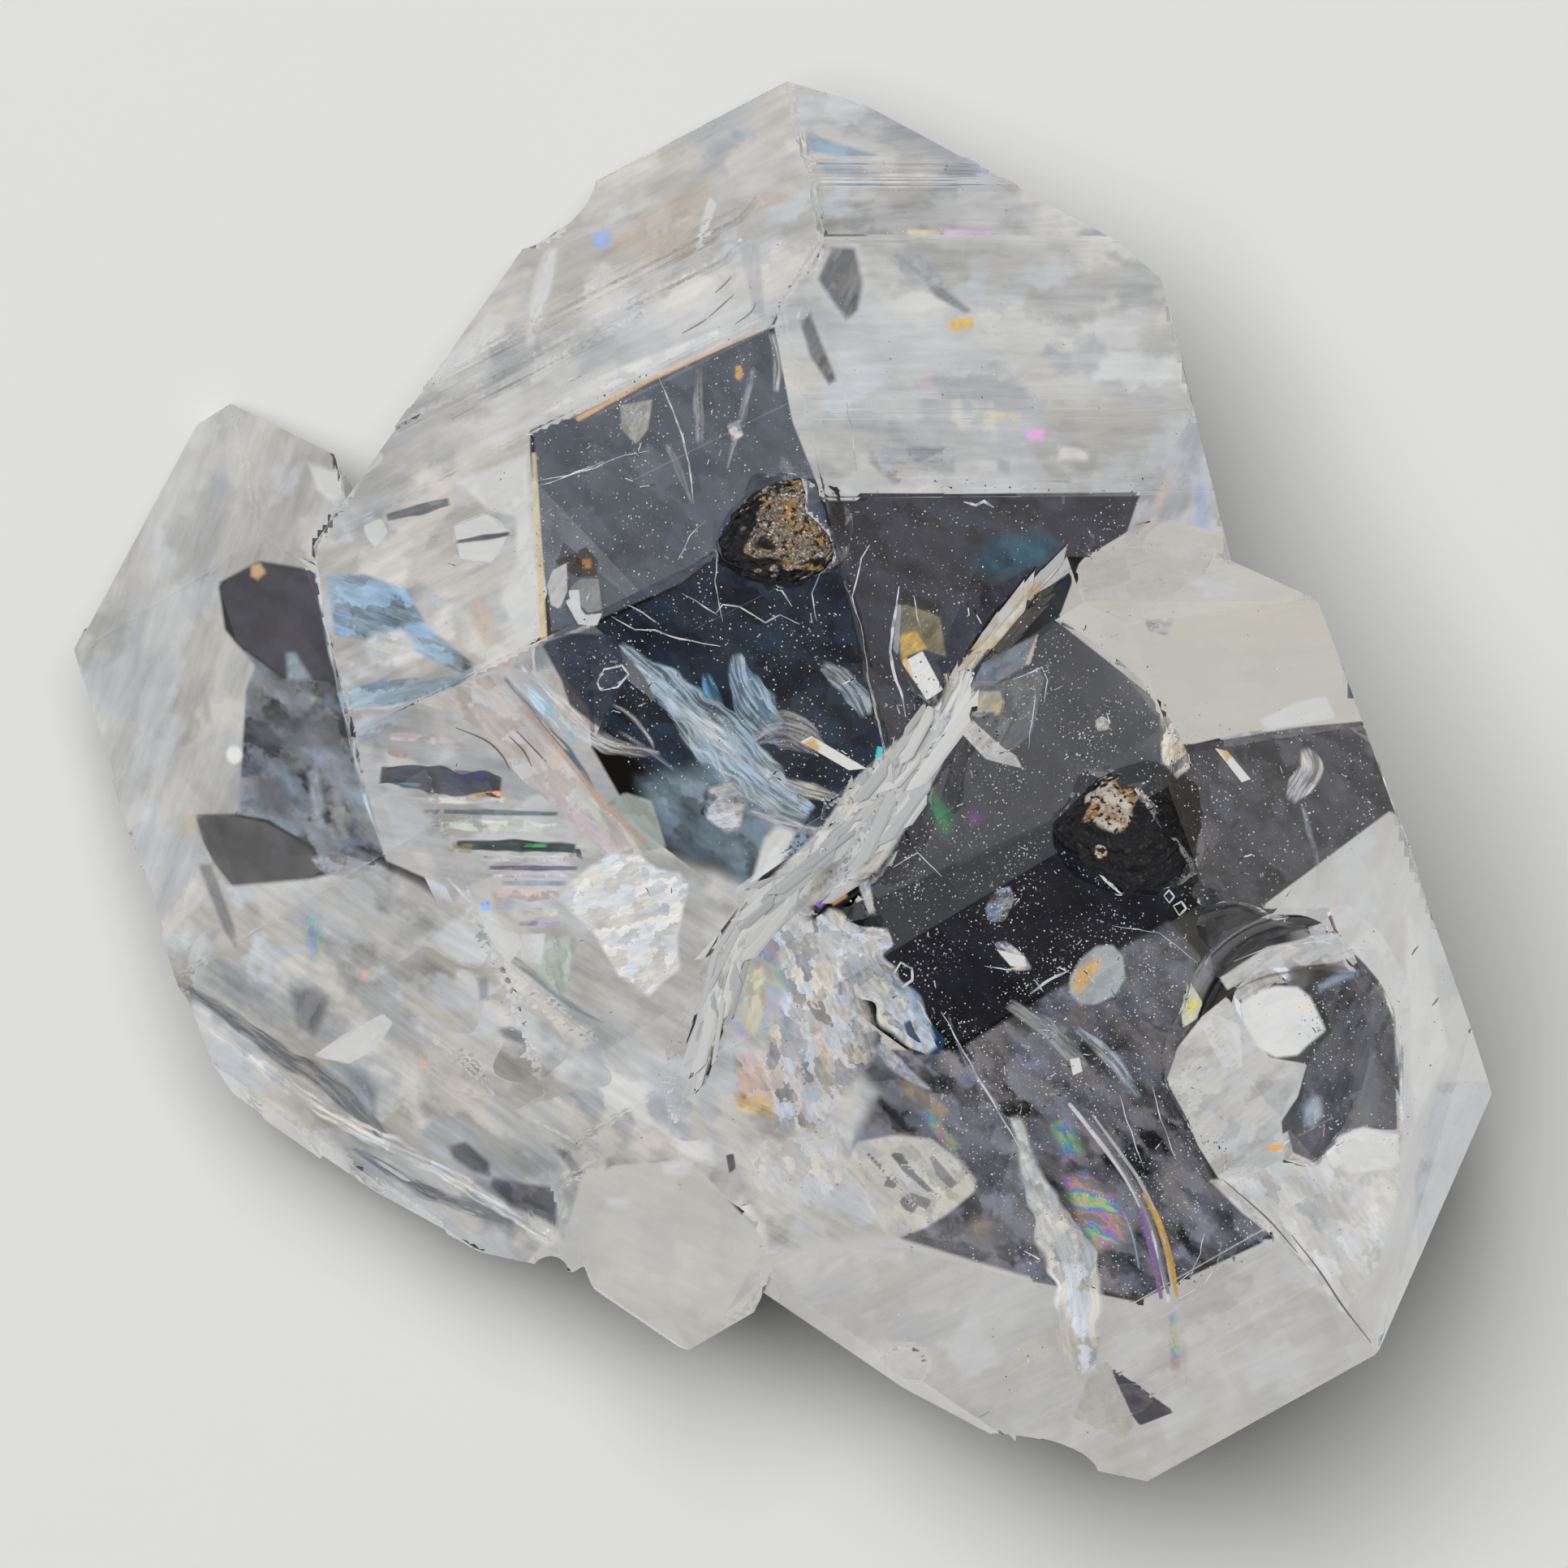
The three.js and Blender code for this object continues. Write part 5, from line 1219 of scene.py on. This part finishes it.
for index, (points, radius) in enumerate(HAIRS.values()):
    points = [in_view(*point) for point in points]
    track = []
    for (ax, ay), (bx, by) in zip(points, points[1:]):
        steps = max(1, round(math.hypot(bx - ax, by - ay) / HAIR_STEP))
        track += [(ax + (bx - ax) * k / steps, ay + (by - ay) * k / steps) for k in range(steps)]
    track.append(points[-1])
    spots = []
    for across, up in track:
        sway = noise.noise_vector(Vector((across, up, index)) * 2.5) * HAIR_SWAY
        spot, inward = sight_line(across + sway.x, up + sway.y)
        if spot is not None:
            spots.append(spot + inward * HAIR_DEPTH * MM)
    line = hair_curve.splines.new("POLY")
    line.points.add(len(spots) - 1)
    for number, (point, spot) in enumerate(zip(line.points, spots)):
        point.co = (*spot, 1)
        taper = min(1.0, 0.35 + 3 * min(number, len(spots) - 1 - number) / len(spots))
        point.radius = radius * MM * taper * (1 + 0.5 * noise.noise(spot * 4000))
hair_object = bpy.data.objects.new("hair_curve", hair_curve)
scene.collection.objects.link(hair_object)
hair_bmesh = bmesh.new()
hair_bmesh.from_mesh(hair_object.to_mesh())
hair_object.to_mesh_clear()
bpy.data.objects.remove(hair_object)
pale = bpy.data.materials.new("pale hair crack")
pale.use_nodes = True
pale_shader = pale.node_tree.nodes["Principled BSDF"]
pale_spots = put(pale.node_tree, "ShaderNodeTexNoise", {
    "Vector": put(pale.node_tree, "ShaderNodeTexCoord").outputs["Object"], "Scale": 3000.0})
# The hairs are real healed cracks; their pale glow is painted light, not lit by the lamp.
pale.node_tree.links.new(
    blend(pale.node_tree, ramp(pale.node_tree, pale_spots.outputs["Fac"], 0.35, 0.6),
          (0.25, 0.27, 0.31, 1), (0.62, 0.64, 0.66, 1)), pale_shader.inputs["Emission Color"])
pale_shader.inputs["Emission Strength"].default_value = 1.0
pale_shader.inputs["Base Color"].default_value = (0.3, 0.3, 0.3, 1)
finish_piece(hair_bmesh, "hair_cracks", pale)

# ------------------------------------------------------------------ white laths
# Small white tablets and laths of quartz stand on the faces, rooted a little way in them,
# bright and with a few ochre spots.
LATHS = {
    # outline, how deep it is rooted, how high it stands
    "shelf": ([(986, 914), (1000, 907), (1068, 947), (1046, 949)], 0.25, 0.06),
    "wedge": ([(1497, 922), (1512, 925), (1541, 960), (1530, 964)], 0.2, 0.05),
    "fragment_a": ([(1228, 1170), (1262, 1178), (1266, 1192), (1245, 1190)], 0.15, 0.08),
    "fragment_b": ([(1318, 1305), (1330, 1303), (1334, 1320), (1322, 1325)], 0.15, 0.08),
}
lath_slabs = bmesh.new()
for outline, root, rise in LATHS.values():
    rings = []
    for sunk in (root, -rise):
        ring = []
        for across, up in (in_view(*point) for point in outline):
            spot, inward = sight_line(across, up)
            way = (spot - camera.location).normalized()
            ring.append(lath_slabs.verts.new(spot + (inward if sunk > 0 else way) * sunk * MM))
        rings.append(ring)
    result = bmesh.ops.convex_hull(lath_slabs, input=rings[0] + rings[1])
    inner = [item for item in result["geom_interior"] if isinstance(item, bmesh.types.BMVert)]
    bmesh.ops.delete(lath_slabs, geom=inner, context="VERTS")
bmesh.ops.recalc_face_normals(lath_slabs, faces=lath_slabs.faces)
chalk = bpy.data.materials.new("white lath")
chalk.use_nodes = True
chalk_tree = chalk.node_tree
chalk_shader = chalk_tree.nodes["Principled BSDF"]
chalk_place = put(chalk_tree, "ShaderNodeTexCoord").outputs["Object"]
chalk_spots = put(chalk_tree, "ShaderNodeTexNoise", {"Vector": chalk_place, "Scale": 1800.0, "Detail": 4.0})
chalk_tree.links.new(
    blend(chalk_tree, ramp(chalk_tree, chalk_spots.outputs["Fac"], 0.56, 0.66),
          (0.86, 0.86, 0.84, 1), (0.72, 0.52, 0.24, 1)), chalk_shader.inputs["Base Color"])
chalk_shader.inputs["Roughness"].default_value = 0.25
finish_piece(lath_slabs, "white_laths", chalk)

# ------------------------------------------------------------------ seam laths
# Where the two large crystals meet, the seam is a shattered comb of thin, pale laths of
# quartz. They lie flat on a pale bed that follows the faces.
SEAM_PATH = [(1306, 688), (1260, 736), (1215, 792), (1185, 836), (1168, 876), (1132, 930),
    (1084, 990), (1050, 1040), (1000, 1078), (948, 1120), (905, 1172), (880, 1240), (856, 1330)]
SEAM_HALF_WIDTHS = [6, 9, 9, 8, 18, 34, 46, 46, 36, 28, 25, 20, 13]
SEAM_LATHS = 150
LATH_LENGTHS = (0.8, 2.6)
LATH_WIDTHS = (0.09, 0.32)
LATH_FAN = math.radians(4)
random.seed(7)


def add_lath(bm, start, end, up, width, height, tone):
    """A flat lath with slanted ends between two points."""
    tone_layer = bm.verts.layers.float.get("tone") or bm.verts.layers.float.new("tone")
    along = end - start
    aside = up.cross(along).normalized() * width / 2
    rise = along.cross(aside).normalized() * height
    rings = []
    for middle, slant in ((start, 1), (end, -1)):
        ring = []
        for side, level in ((-1.0, -0.6), (1.0, -0.6), (0.55, 1.0), (-0.55, 1.0)):
            corner = middle + aside * side + rise * level + along.normalized() * width * slant * side * 0.8
            vert = bm.verts.new(corner)
            vert[tone_layer] = tone
            ring.append(vert)
        rings.append(ring)
    bm.faces.new(rings[0][::-1])
    bm.faces.new(rings[1])
    for k in range(4):
        bm.faces.new((rings[0][k], rings[0][(k + 1) % 4], rings[1][(k + 1) % 4], rings[1][k]))


seam_slabs = bmesh.new()
seam_track = curved([Vector(in_view(*point)) for point in SEAM_PATH],
                    [half * STEP for half in SEAM_HALF_WIDTHS], 0.05)
widest = max(half for _, _, half, _ in seam_track)
for _ in range(SEAM_LATHS):
    middle, way, half, _ = random.choice(seam_track)
    if random.random() > 0.25 + half / widest:
        continue
    aside_way = Vector((-way.y, way.x))
    middle = middle + aside_way * random.uniform(-0.95, 0.95) * half
    turn = random.gauss(0, LATH_FAN)
    way = Vector((way.x * math.cos(turn) - way.y * math.sin(turn),
                  way.x * math.sin(turn) + way.y * math.cos(turn)))
    length = LATH_LENGTHS[0] + (LATH_LENGTHS[1] - LATH_LENGTHS[0]) * random.random() ** 1.6
    ends = [sight_line(*(middle + way * length * share))[0] for share in (-0.5, 0.5)]
    if None in ends or abs(ends[0].z - ends[1].z) > 0.6 * length * MM:
        continue
    lift = Vector((0, 0, random.uniform(0.0, 0.05) * MM))
    width = random.uniform(*LATH_WIDTHS) * MM
    add_lath(seam_slabs, ends[0] + lift, ends[1] + lift, Vector((0, 0, 1)), width, 0.05 * width,
             random.random())
bmesh.ops.recalc_face_normals(seam_slabs, faces=seam_slabs.faces)


TUMBLE = 3.14


def scatter(name, bm, material, count_per_mm2, sizes, stretch, seed):
    """Strews small grains over the faces of a sheet, more where its cover is high."""
    sheet_mesh = bpy.data.meshes.new(name)
    bm.to_mesh(sheet_mesh)
    bm.free()
    field = bpy.data.objects.new(name, sheet_mesh)
    scene.collection.objects.link(field)
    tree = bpy.data.node_groups.new(name, "GeometryNodeTree")
    tree.interface.new_socket("Geometry", in_out="INPUT", socket_type="NodeSocketGeometry")
    sockets = {}
    for label, value in (("Density", count_per_mm2 / MM ** 2), ("Smallest", sizes[0] * MM),
                         ("Largest", sizes[1] * MM), ("Stretch", stretch)):
        socket = tree.interface.new_socket(label, in_out="INPUT", socket_type="NodeSocketFloat")
        sockets[socket.identifier] = value
    tree.interface.new_socket("Geometry", in_out="OUTPUT", socket_type="NodeSocketGeometry")
    given = tree.nodes.new("NodeGroupInput")
    dense = put(tree, "GeometryNodeInputNamedAttribute", {"Name": "cover"}, data_type="FLOAT")
    edge = put(tree, "GeometryNodeInputNamedAttribute", {"Name": "edge"}, data_type="FLOAT")
    inside = put(tree, "ShaderNodeMath", {0: edge.outputs[0]}, operation="MAXIMUM", use_clamp=True)
    clumps = put(tree, "ShaderNodeTexNoise", {"Scale": 900.0, "Detail": 2.0})
    amount = times(tree, times(tree, dense.outputs[0], inside.outputs[0]), given.outputs["Density"])
    amount = times(tree, amount, ramp(tree, clumps.outputs[0], 0.38, 0.62, 0.15, 1.6))
    points = put(tree, "GeometryNodeDistributePointsOnFaces", {
        "Mesh": given.outputs["Geometry"], "Density": amount, "Seed": seed})
    grain = put(tree, "GeometryNodeMeshCube", {"Size": (2.0, 2.0, 2.0)})
    chance = put(tree, "FunctionNodeRandomValue", {"Seed": seed + 1}, data_type="FLOAT")
    skew = put(tree, "ShaderNodeMath", {0: chance.outputs[1], 1: 2.5}, operation="POWER")
    span = put(tree, "ShaderNodeMath", {0: given.outputs["Largest"], 1: given.outputs["Smallest"]},
               operation="SUBTRACT")
    radius = plus(tree, times(tree, skew.outputs[0], span.outputs[0]), given.outputs["Smallest"])
    long = times(tree, radius, given.outputs["Stretch"])
    scale = put(tree, "ShaderNodeCombineXYZ", {"X": long, "Y": radius, "Z": radius})
    turn = put(tree, "FunctionNodeRandomValue", {"Seed": seed + 2}, data_type="FLOAT_VECTOR")
    wide = put(tree, "ShaderNodeVectorMath", {0: turn.outputs[0], 1: (-0.5, -0.5, -0.5)}, operation="ADD")
    wide = put(tree, "ShaderNodeVectorMath", {0: wide.outputs[0], "Scale": TUMBLE}, operation="SCALE")
    placed = put(tree, "GeometryNodeInstanceOnPoints", {
        "Points": points.outputs["Points"], "Instance": grain.outputs["Mesh"],
        "Rotation": wide.outputs[0], "Scale": scale.outputs[0]})
    real = put(tree, "GeometryNodeRealizeInstances", {"Geometry": placed.outputs[0]})
    painted = put(tree, "GeometryNodeSetMaterial", {"Geometry": real.outputs[0], "Material": material})
    out = tree.nodes.new("NodeGroupOutput")
    tree.links.new(painted.outputs[0], out.inputs[0])
    modifier = field.modifiers.new("scatter", "NODES")
    modifier.node_group = tree
    for identifier, value in sockets.items():
        modifier[identifier] = value
    grown = bpy.data.meshes.new_from_object(field.evaluated_get(bpy.context.evaluated_depsgraph_get()))
    field.modifiers.clear()
    field.data = grown
    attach(field, "root")
    return field


seam_quartz = bpy.data.materials.new("pale seam quartz")
seam_quartz.use_nodes = True
seam_tree = seam_quartz.node_tree
seam_shader = seam_tree.nodes["Principled BSDF"]
seam_place = put(seam_tree, "ShaderNodeTexCoord").outputs["Object"]
seam_noise = put(seam_tree, "ShaderNodeTexNoise", {"Vector": seam_place, "Scale": 900.0, "Detail": 3.0})
seam_high = put(seam_tree, "ShaderNodeSeparateXYZ", {0: seam_place}).outputs["Y"]
seam_value = put(seam_tree, "ShaderNodeAttribute", attribute_name="tone").outputs["Fac"]
seam_tone = blend(seam_tree, seam_value, (0.42, 0.43, 0.44, 1), (0.70, 0.70, 0.68, 1))
stained = times(seam_tree, ramp(seam_tree, seam_high, 0.8 * MM, 3.2 * MM, 0.0, 0.85),
                ramp(seam_tree, seam_noise.outputs["Fac"], 0.42, 0.58))
seam_tone = blend(seam_tree, stained, seam_tone, (0.42, 0.29, 0.12, 1))
seam_tree.links.new(seam_tone, seam_shader.inputs["Base Color"])
seam_shader.inputs["Roughness"].default_value = 0.3
finish_piece(seam_slabs, "seam_laths", seam_quartz)
seam_bed = bmesh.new()
# The bed's pale glow is painted light; it is not lit by the lamp.
add_ribbon(seam_bed, SEAM_PATH, SEAM_HALF_WIDTHS, 0.0, 0.95, (0.50, 0.50, 0.49), 1.2, fade=0.10)
finish_piece(seam_bed, "seam_bed", painted_glow_film)

# ------------------------------------------------------------------ dust
# Fine pale dust and lint lie on the upper faces, thickest on the right crystal.
DUST_FIELDS = {
    # outline, density
    "main_window": ([(655, 525), (945, 398), (1000, 605), (1400, 608), (1385, 680), (1310, 690),
        (1180, 850), (1080, 1000), (950, 1000), (800, 950), (660, 790)], 0.5),
    "right_window": ([(1303, 763), (1384, 828), (1456, 916), (1655, 889), (1712, 998), (1540, 1121),
        (1480, 1110), (1440, 1290), (1573, 1521), (1400, 1600), (1110, 1530), (1170, 1290),
        (1080, 1150), (1060, 1080), (1180, 900)], 1.0),
    "chip_window": ([(1600, 1200), (1720, 1220), (1725, 1400), (1600, 1420)], 0.8),
    "everywhere": ([(400, 650), (1200, 120), (1750, 900), (1800, 1400), (1400, 1800), (700, 1400)], 0.04),
}
DUST_PER_MM2 = 95.0
dust_field = bmesh.new()
for outline, density in DUST_FIELDS.values():
    add_sheet(dust_field, outline, 0.0, 0, 0.2, density, pitch=0.25)
lint_field = dust_field.copy()
dust = bpy.data.materials.new("pale dust")
dust.use_nodes = True
dust_tree = dust.node_tree
dust_shader = dust_tree.nodes["Principled BSDF"]
dust_noise = put(dust_tree, "ShaderNodeTexNoise", {
    "Vector": put(dust_tree, "ShaderNodeTexCoord").outputs["Object"], "Scale": 2500.0})
dust_tree.links.new(
    blend(dust_tree, ramp(dust_tree, dust_noise.outputs["Fac"], 0.4, 0.6),
          (0.42, 0.42, 0.43, 1), (0.85, 0.84, 0.82, 1)), dust_shader.inputs["Base Color"])
dust_shader.inputs["Roughness"].default_value = 0.8
scatter("surface_dust", dust_field, dust, DUST_PER_MM2, (0.003, 0.015), 1.3, 11)
scatter("surface_lint", lint_field, dust, 0.8, (0.007, 0.014), 14.0, 23)

# ------------------------------------------------------------------ anthraxolite grains
# Anthraxolite is a hard, coal-like matter. Each grain fills its pit as a rough, flat-topped
# lump, black and half dull, with brown and white crumbs caught in it.
GRAIN_LEVELS = 6
GRAIN_PROUD = 0.22
OVER_RIM = 1.05
RING_OUTSIDE = 1.30
GRAINS = {
    # outline; crumbs: where they lie, and how far they reach; pale: how light they are
    "anthraxolite_grain_upper": {
        "outline": [(888, 668), (905, 636), (930, 610), (960, 596), (1000, 595), (1026, 610),
            (1034, 640), (1028, 676), (1010, 702), (985, 717), (950, 717), (915, 706), (893, 690)],
        "crumbs": [(984, 646, 56)], "pale": 0.12, "seed": 3.0},
    "anthraxolite_grain_lower": {
        "outline": [(1302, 1016), (1330, 988), (1355, 962), (1385, 950), (1410, 943), (1440, 948),
            (1464, 972), (1470, 1010), (1464, 1056), (1432, 1086), (1392, 1094), (1345, 1066),
            (1310, 1036)],
        "crumbs": [(1375, 988, 30), (1437, 972, 15), (1360, 1046, 8)], "pale": 0.80, "seed": 8.0},
}
coal = bpy.data.materials.new("anthraxolite")
coal.use_nodes = True
coal_tree = coal.node_tree
coal_shader = coal_tree.nodes["Principled BSDF"]
coal_place = put(coal_tree, "ShaderNodeTexCoord").outputs["Object"]
coal_fine = put(coal_tree, "ShaderNodeTexNoise", {"Vector": coal_place, "Scale": 9000.0, "Detail": 5.0})
coal_broad = put(coal_tree, "ShaderNodeTexNoise", {"Vector": coal_place, "Scale": 2600.0, "Detail": 3.0})
coal_cells = put(coal_tree, "ShaderNodeTexVoronoi", {"Vector": coal_place, "Scale": 28000.0})
crumb_mask = put(coal_tree, "ShaderNodeAttribute", attribute_name="crumbs").outputs["Fac"]
crumb_pale = put(coal_tree, "ShaderNodeAttribute", attribute_name="pale").outputs["Fac"]
cell_value = put(coal_tree, "ShaderNodeSeparateColor", {0: coal_cells.outputs["Color"]}).outputs[0]
brown_tone = blend(coal_tree, ramp(coal_tree, cell_value, 0.1, 0.9),
                   (0.045, 0.035, 0.028, 1), (0.30, 0.24, 0.16, 1))
brown_tone = blend(coal_tree, ramp(coal_tree, coal_broad.outputs["Fac"], 0.56, 0.66),
                   brown_tone, (0.40, 0.24, 0.07, 1))
white_tone = blend(coal_tree, ramp(coal_tree, coal_broad.outputs["Fac"], 0.46, 0.58),
                   (0.62, 0.56, 0.48, 1), (0.40, 0.22, 0.09, 1))
crumb_tone = blend(coal_tree, crumb_pale, brown_tone, white_tone)
crumb_tone = blend(coal_tree, ramp(coal_tree, cell_value, 0.90, 0.95), crumb_tone, (0.62, 0.60, 0.55, 1))
crumb_tone = blend(coal_tree, ramp(coal_tree, coal_fine.outputs["Fac"], 0.46, 0.38), crumb_tone,
                   (0.012, 0.010, 0.010, 1))
coal_tone = blend(coal_tree, ramp(coal_tree, coal_fine.outputs["Fac"], 0.50, 0.72),
                  (0.004, 0.004, 0.005, 1), (0.055, 0.050, 0.047, 1))
coal_tree.links.new(
    blend(coal_tree, ramp(coal_tree, crumb_mask, 0.45, 0.55), coal_tone, crumb_tone),
    coal_shader.inputs["Base Color"])
coal_tree.links.new(
    ramp(coal_tree, coal_fine.outputs["Fac"], 0.35, 0.65, 0.35, 0.9), coal_shader.inputs["Roughness"])
coal_bump = put(coal_tree, "ShaderNodeBump", {"Height": coal_fine.outputs["Fac"], "Distance": 0.03 * MM})
coal_tree.links.new(coal_bump.outputs["Normal"], coal_shader.inputs["Normal"])


def plan_reach(center, way, outline):
    """How far the outline lies from its centre in a direction of the plan."""
    best = 0.0
    for a, b in zip(outline, outline[1:] + outline[:1]):
        side = b - a
        cross = way.x * side.y - way.y * side.x
        if abs(cross) < 1e-9:
            continue
        gap = a - center
        reach = (gap.x * side.y - gap.y * side.x) / cross
        part = (gap.x * way.y - gap.y * way.x) / cross
        if reach > 0 and 0 <= part <= 1:
            best = max(best, reach)
    return best


for name, look in GRAINS.items():
    low, high = (Vector(corner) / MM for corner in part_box(name))
    middle = (low + high) / 2
    nearer = 1 - (middle.z * MM - SHARP_HEIGHT) / CAMERA_RISE
    axis = Vector((camera.location.x, camera.location.y)) / MM
    outline = [axis + (Vector(in_view(*point)) - axis) * nearer for point in look["outline"]]
    crumbs = [(axis + (Vector(in_view(x, y)) - axis) * nearer, r * STEP) for x, y, r in look["crumbs"]]
    center = sum(outline, Vector((0, 0))) / len(outline)
    ring = [sight_line(*(center + (point - center) * RING_OUTSIDE))[0] / MM for point in outline]
    ring_middle = sum(ring, Vector()) / len(ring)
    out = sum(((b - ring_middle).cross(a - ring_middle) for a, b in zip(ring, ring[1:] + ring[:1])), Vector())
    out = out.normalized() if out.z > 0 else -out.normalized()
    deep = (high.z - low.z) / 2
    lump = bmesh.new()
    bmesh.ops.create_icosphere(lump, subdivisions=GRAIN_LEVELS, radius=1.0)
    crumb_layer = lump.verts.layers.float.new("crumbs")
    pale_layer = lump.verts.layers.float.new("pale")
    shift = Vector((look["seed"], 0, 0))
    for vert in lump.verts:
        way = vert.co.normalized()
        plan = Vector((way.x, way.y))
        flat = plan.normalized() if plan.length > 0 else Vector((1, 0))
        grit = noise.fractal(way * 7.0 + shift, 1.0, 2.0, 5)
        chunks = 1 - noise.voronoi(way * 5.0 + shift)[0][0]
        wide = (1 - way.z ** 2) ** 0.30 * (OVER_RIM + 0.05 * grit)
        spot = center + flat * plan_reach(center, flat, outline) * wide
        height = GRAIN_PROUD * (0.4 + chunks + 0.5 * grit) if way.z > 0 else deep
        fall = (out.x * (spot.x - ring_middle.x) + out.y * (spot.y - ring_middle.y)) / out.z
        vert.co = Vector((spot.x, spot.y, ring_middle.z - fall)) * MM + out * way.z * height * MM
        patchy = 0.30 * noise.noise(way * 6.0 + shift * 2)
        crumbly = max(1 - 0.5 * (spot - place_at).length / reach for place_at, reach in crumbs)
        vert[crumb_layer] = crumbly + patchy
        vert[pale_layer] = look["pale"]
    for face in lump.faces:
        face.smooth = True
    grain_piece = finish_piece(lump, name + "_rough", coal)
    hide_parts(name)
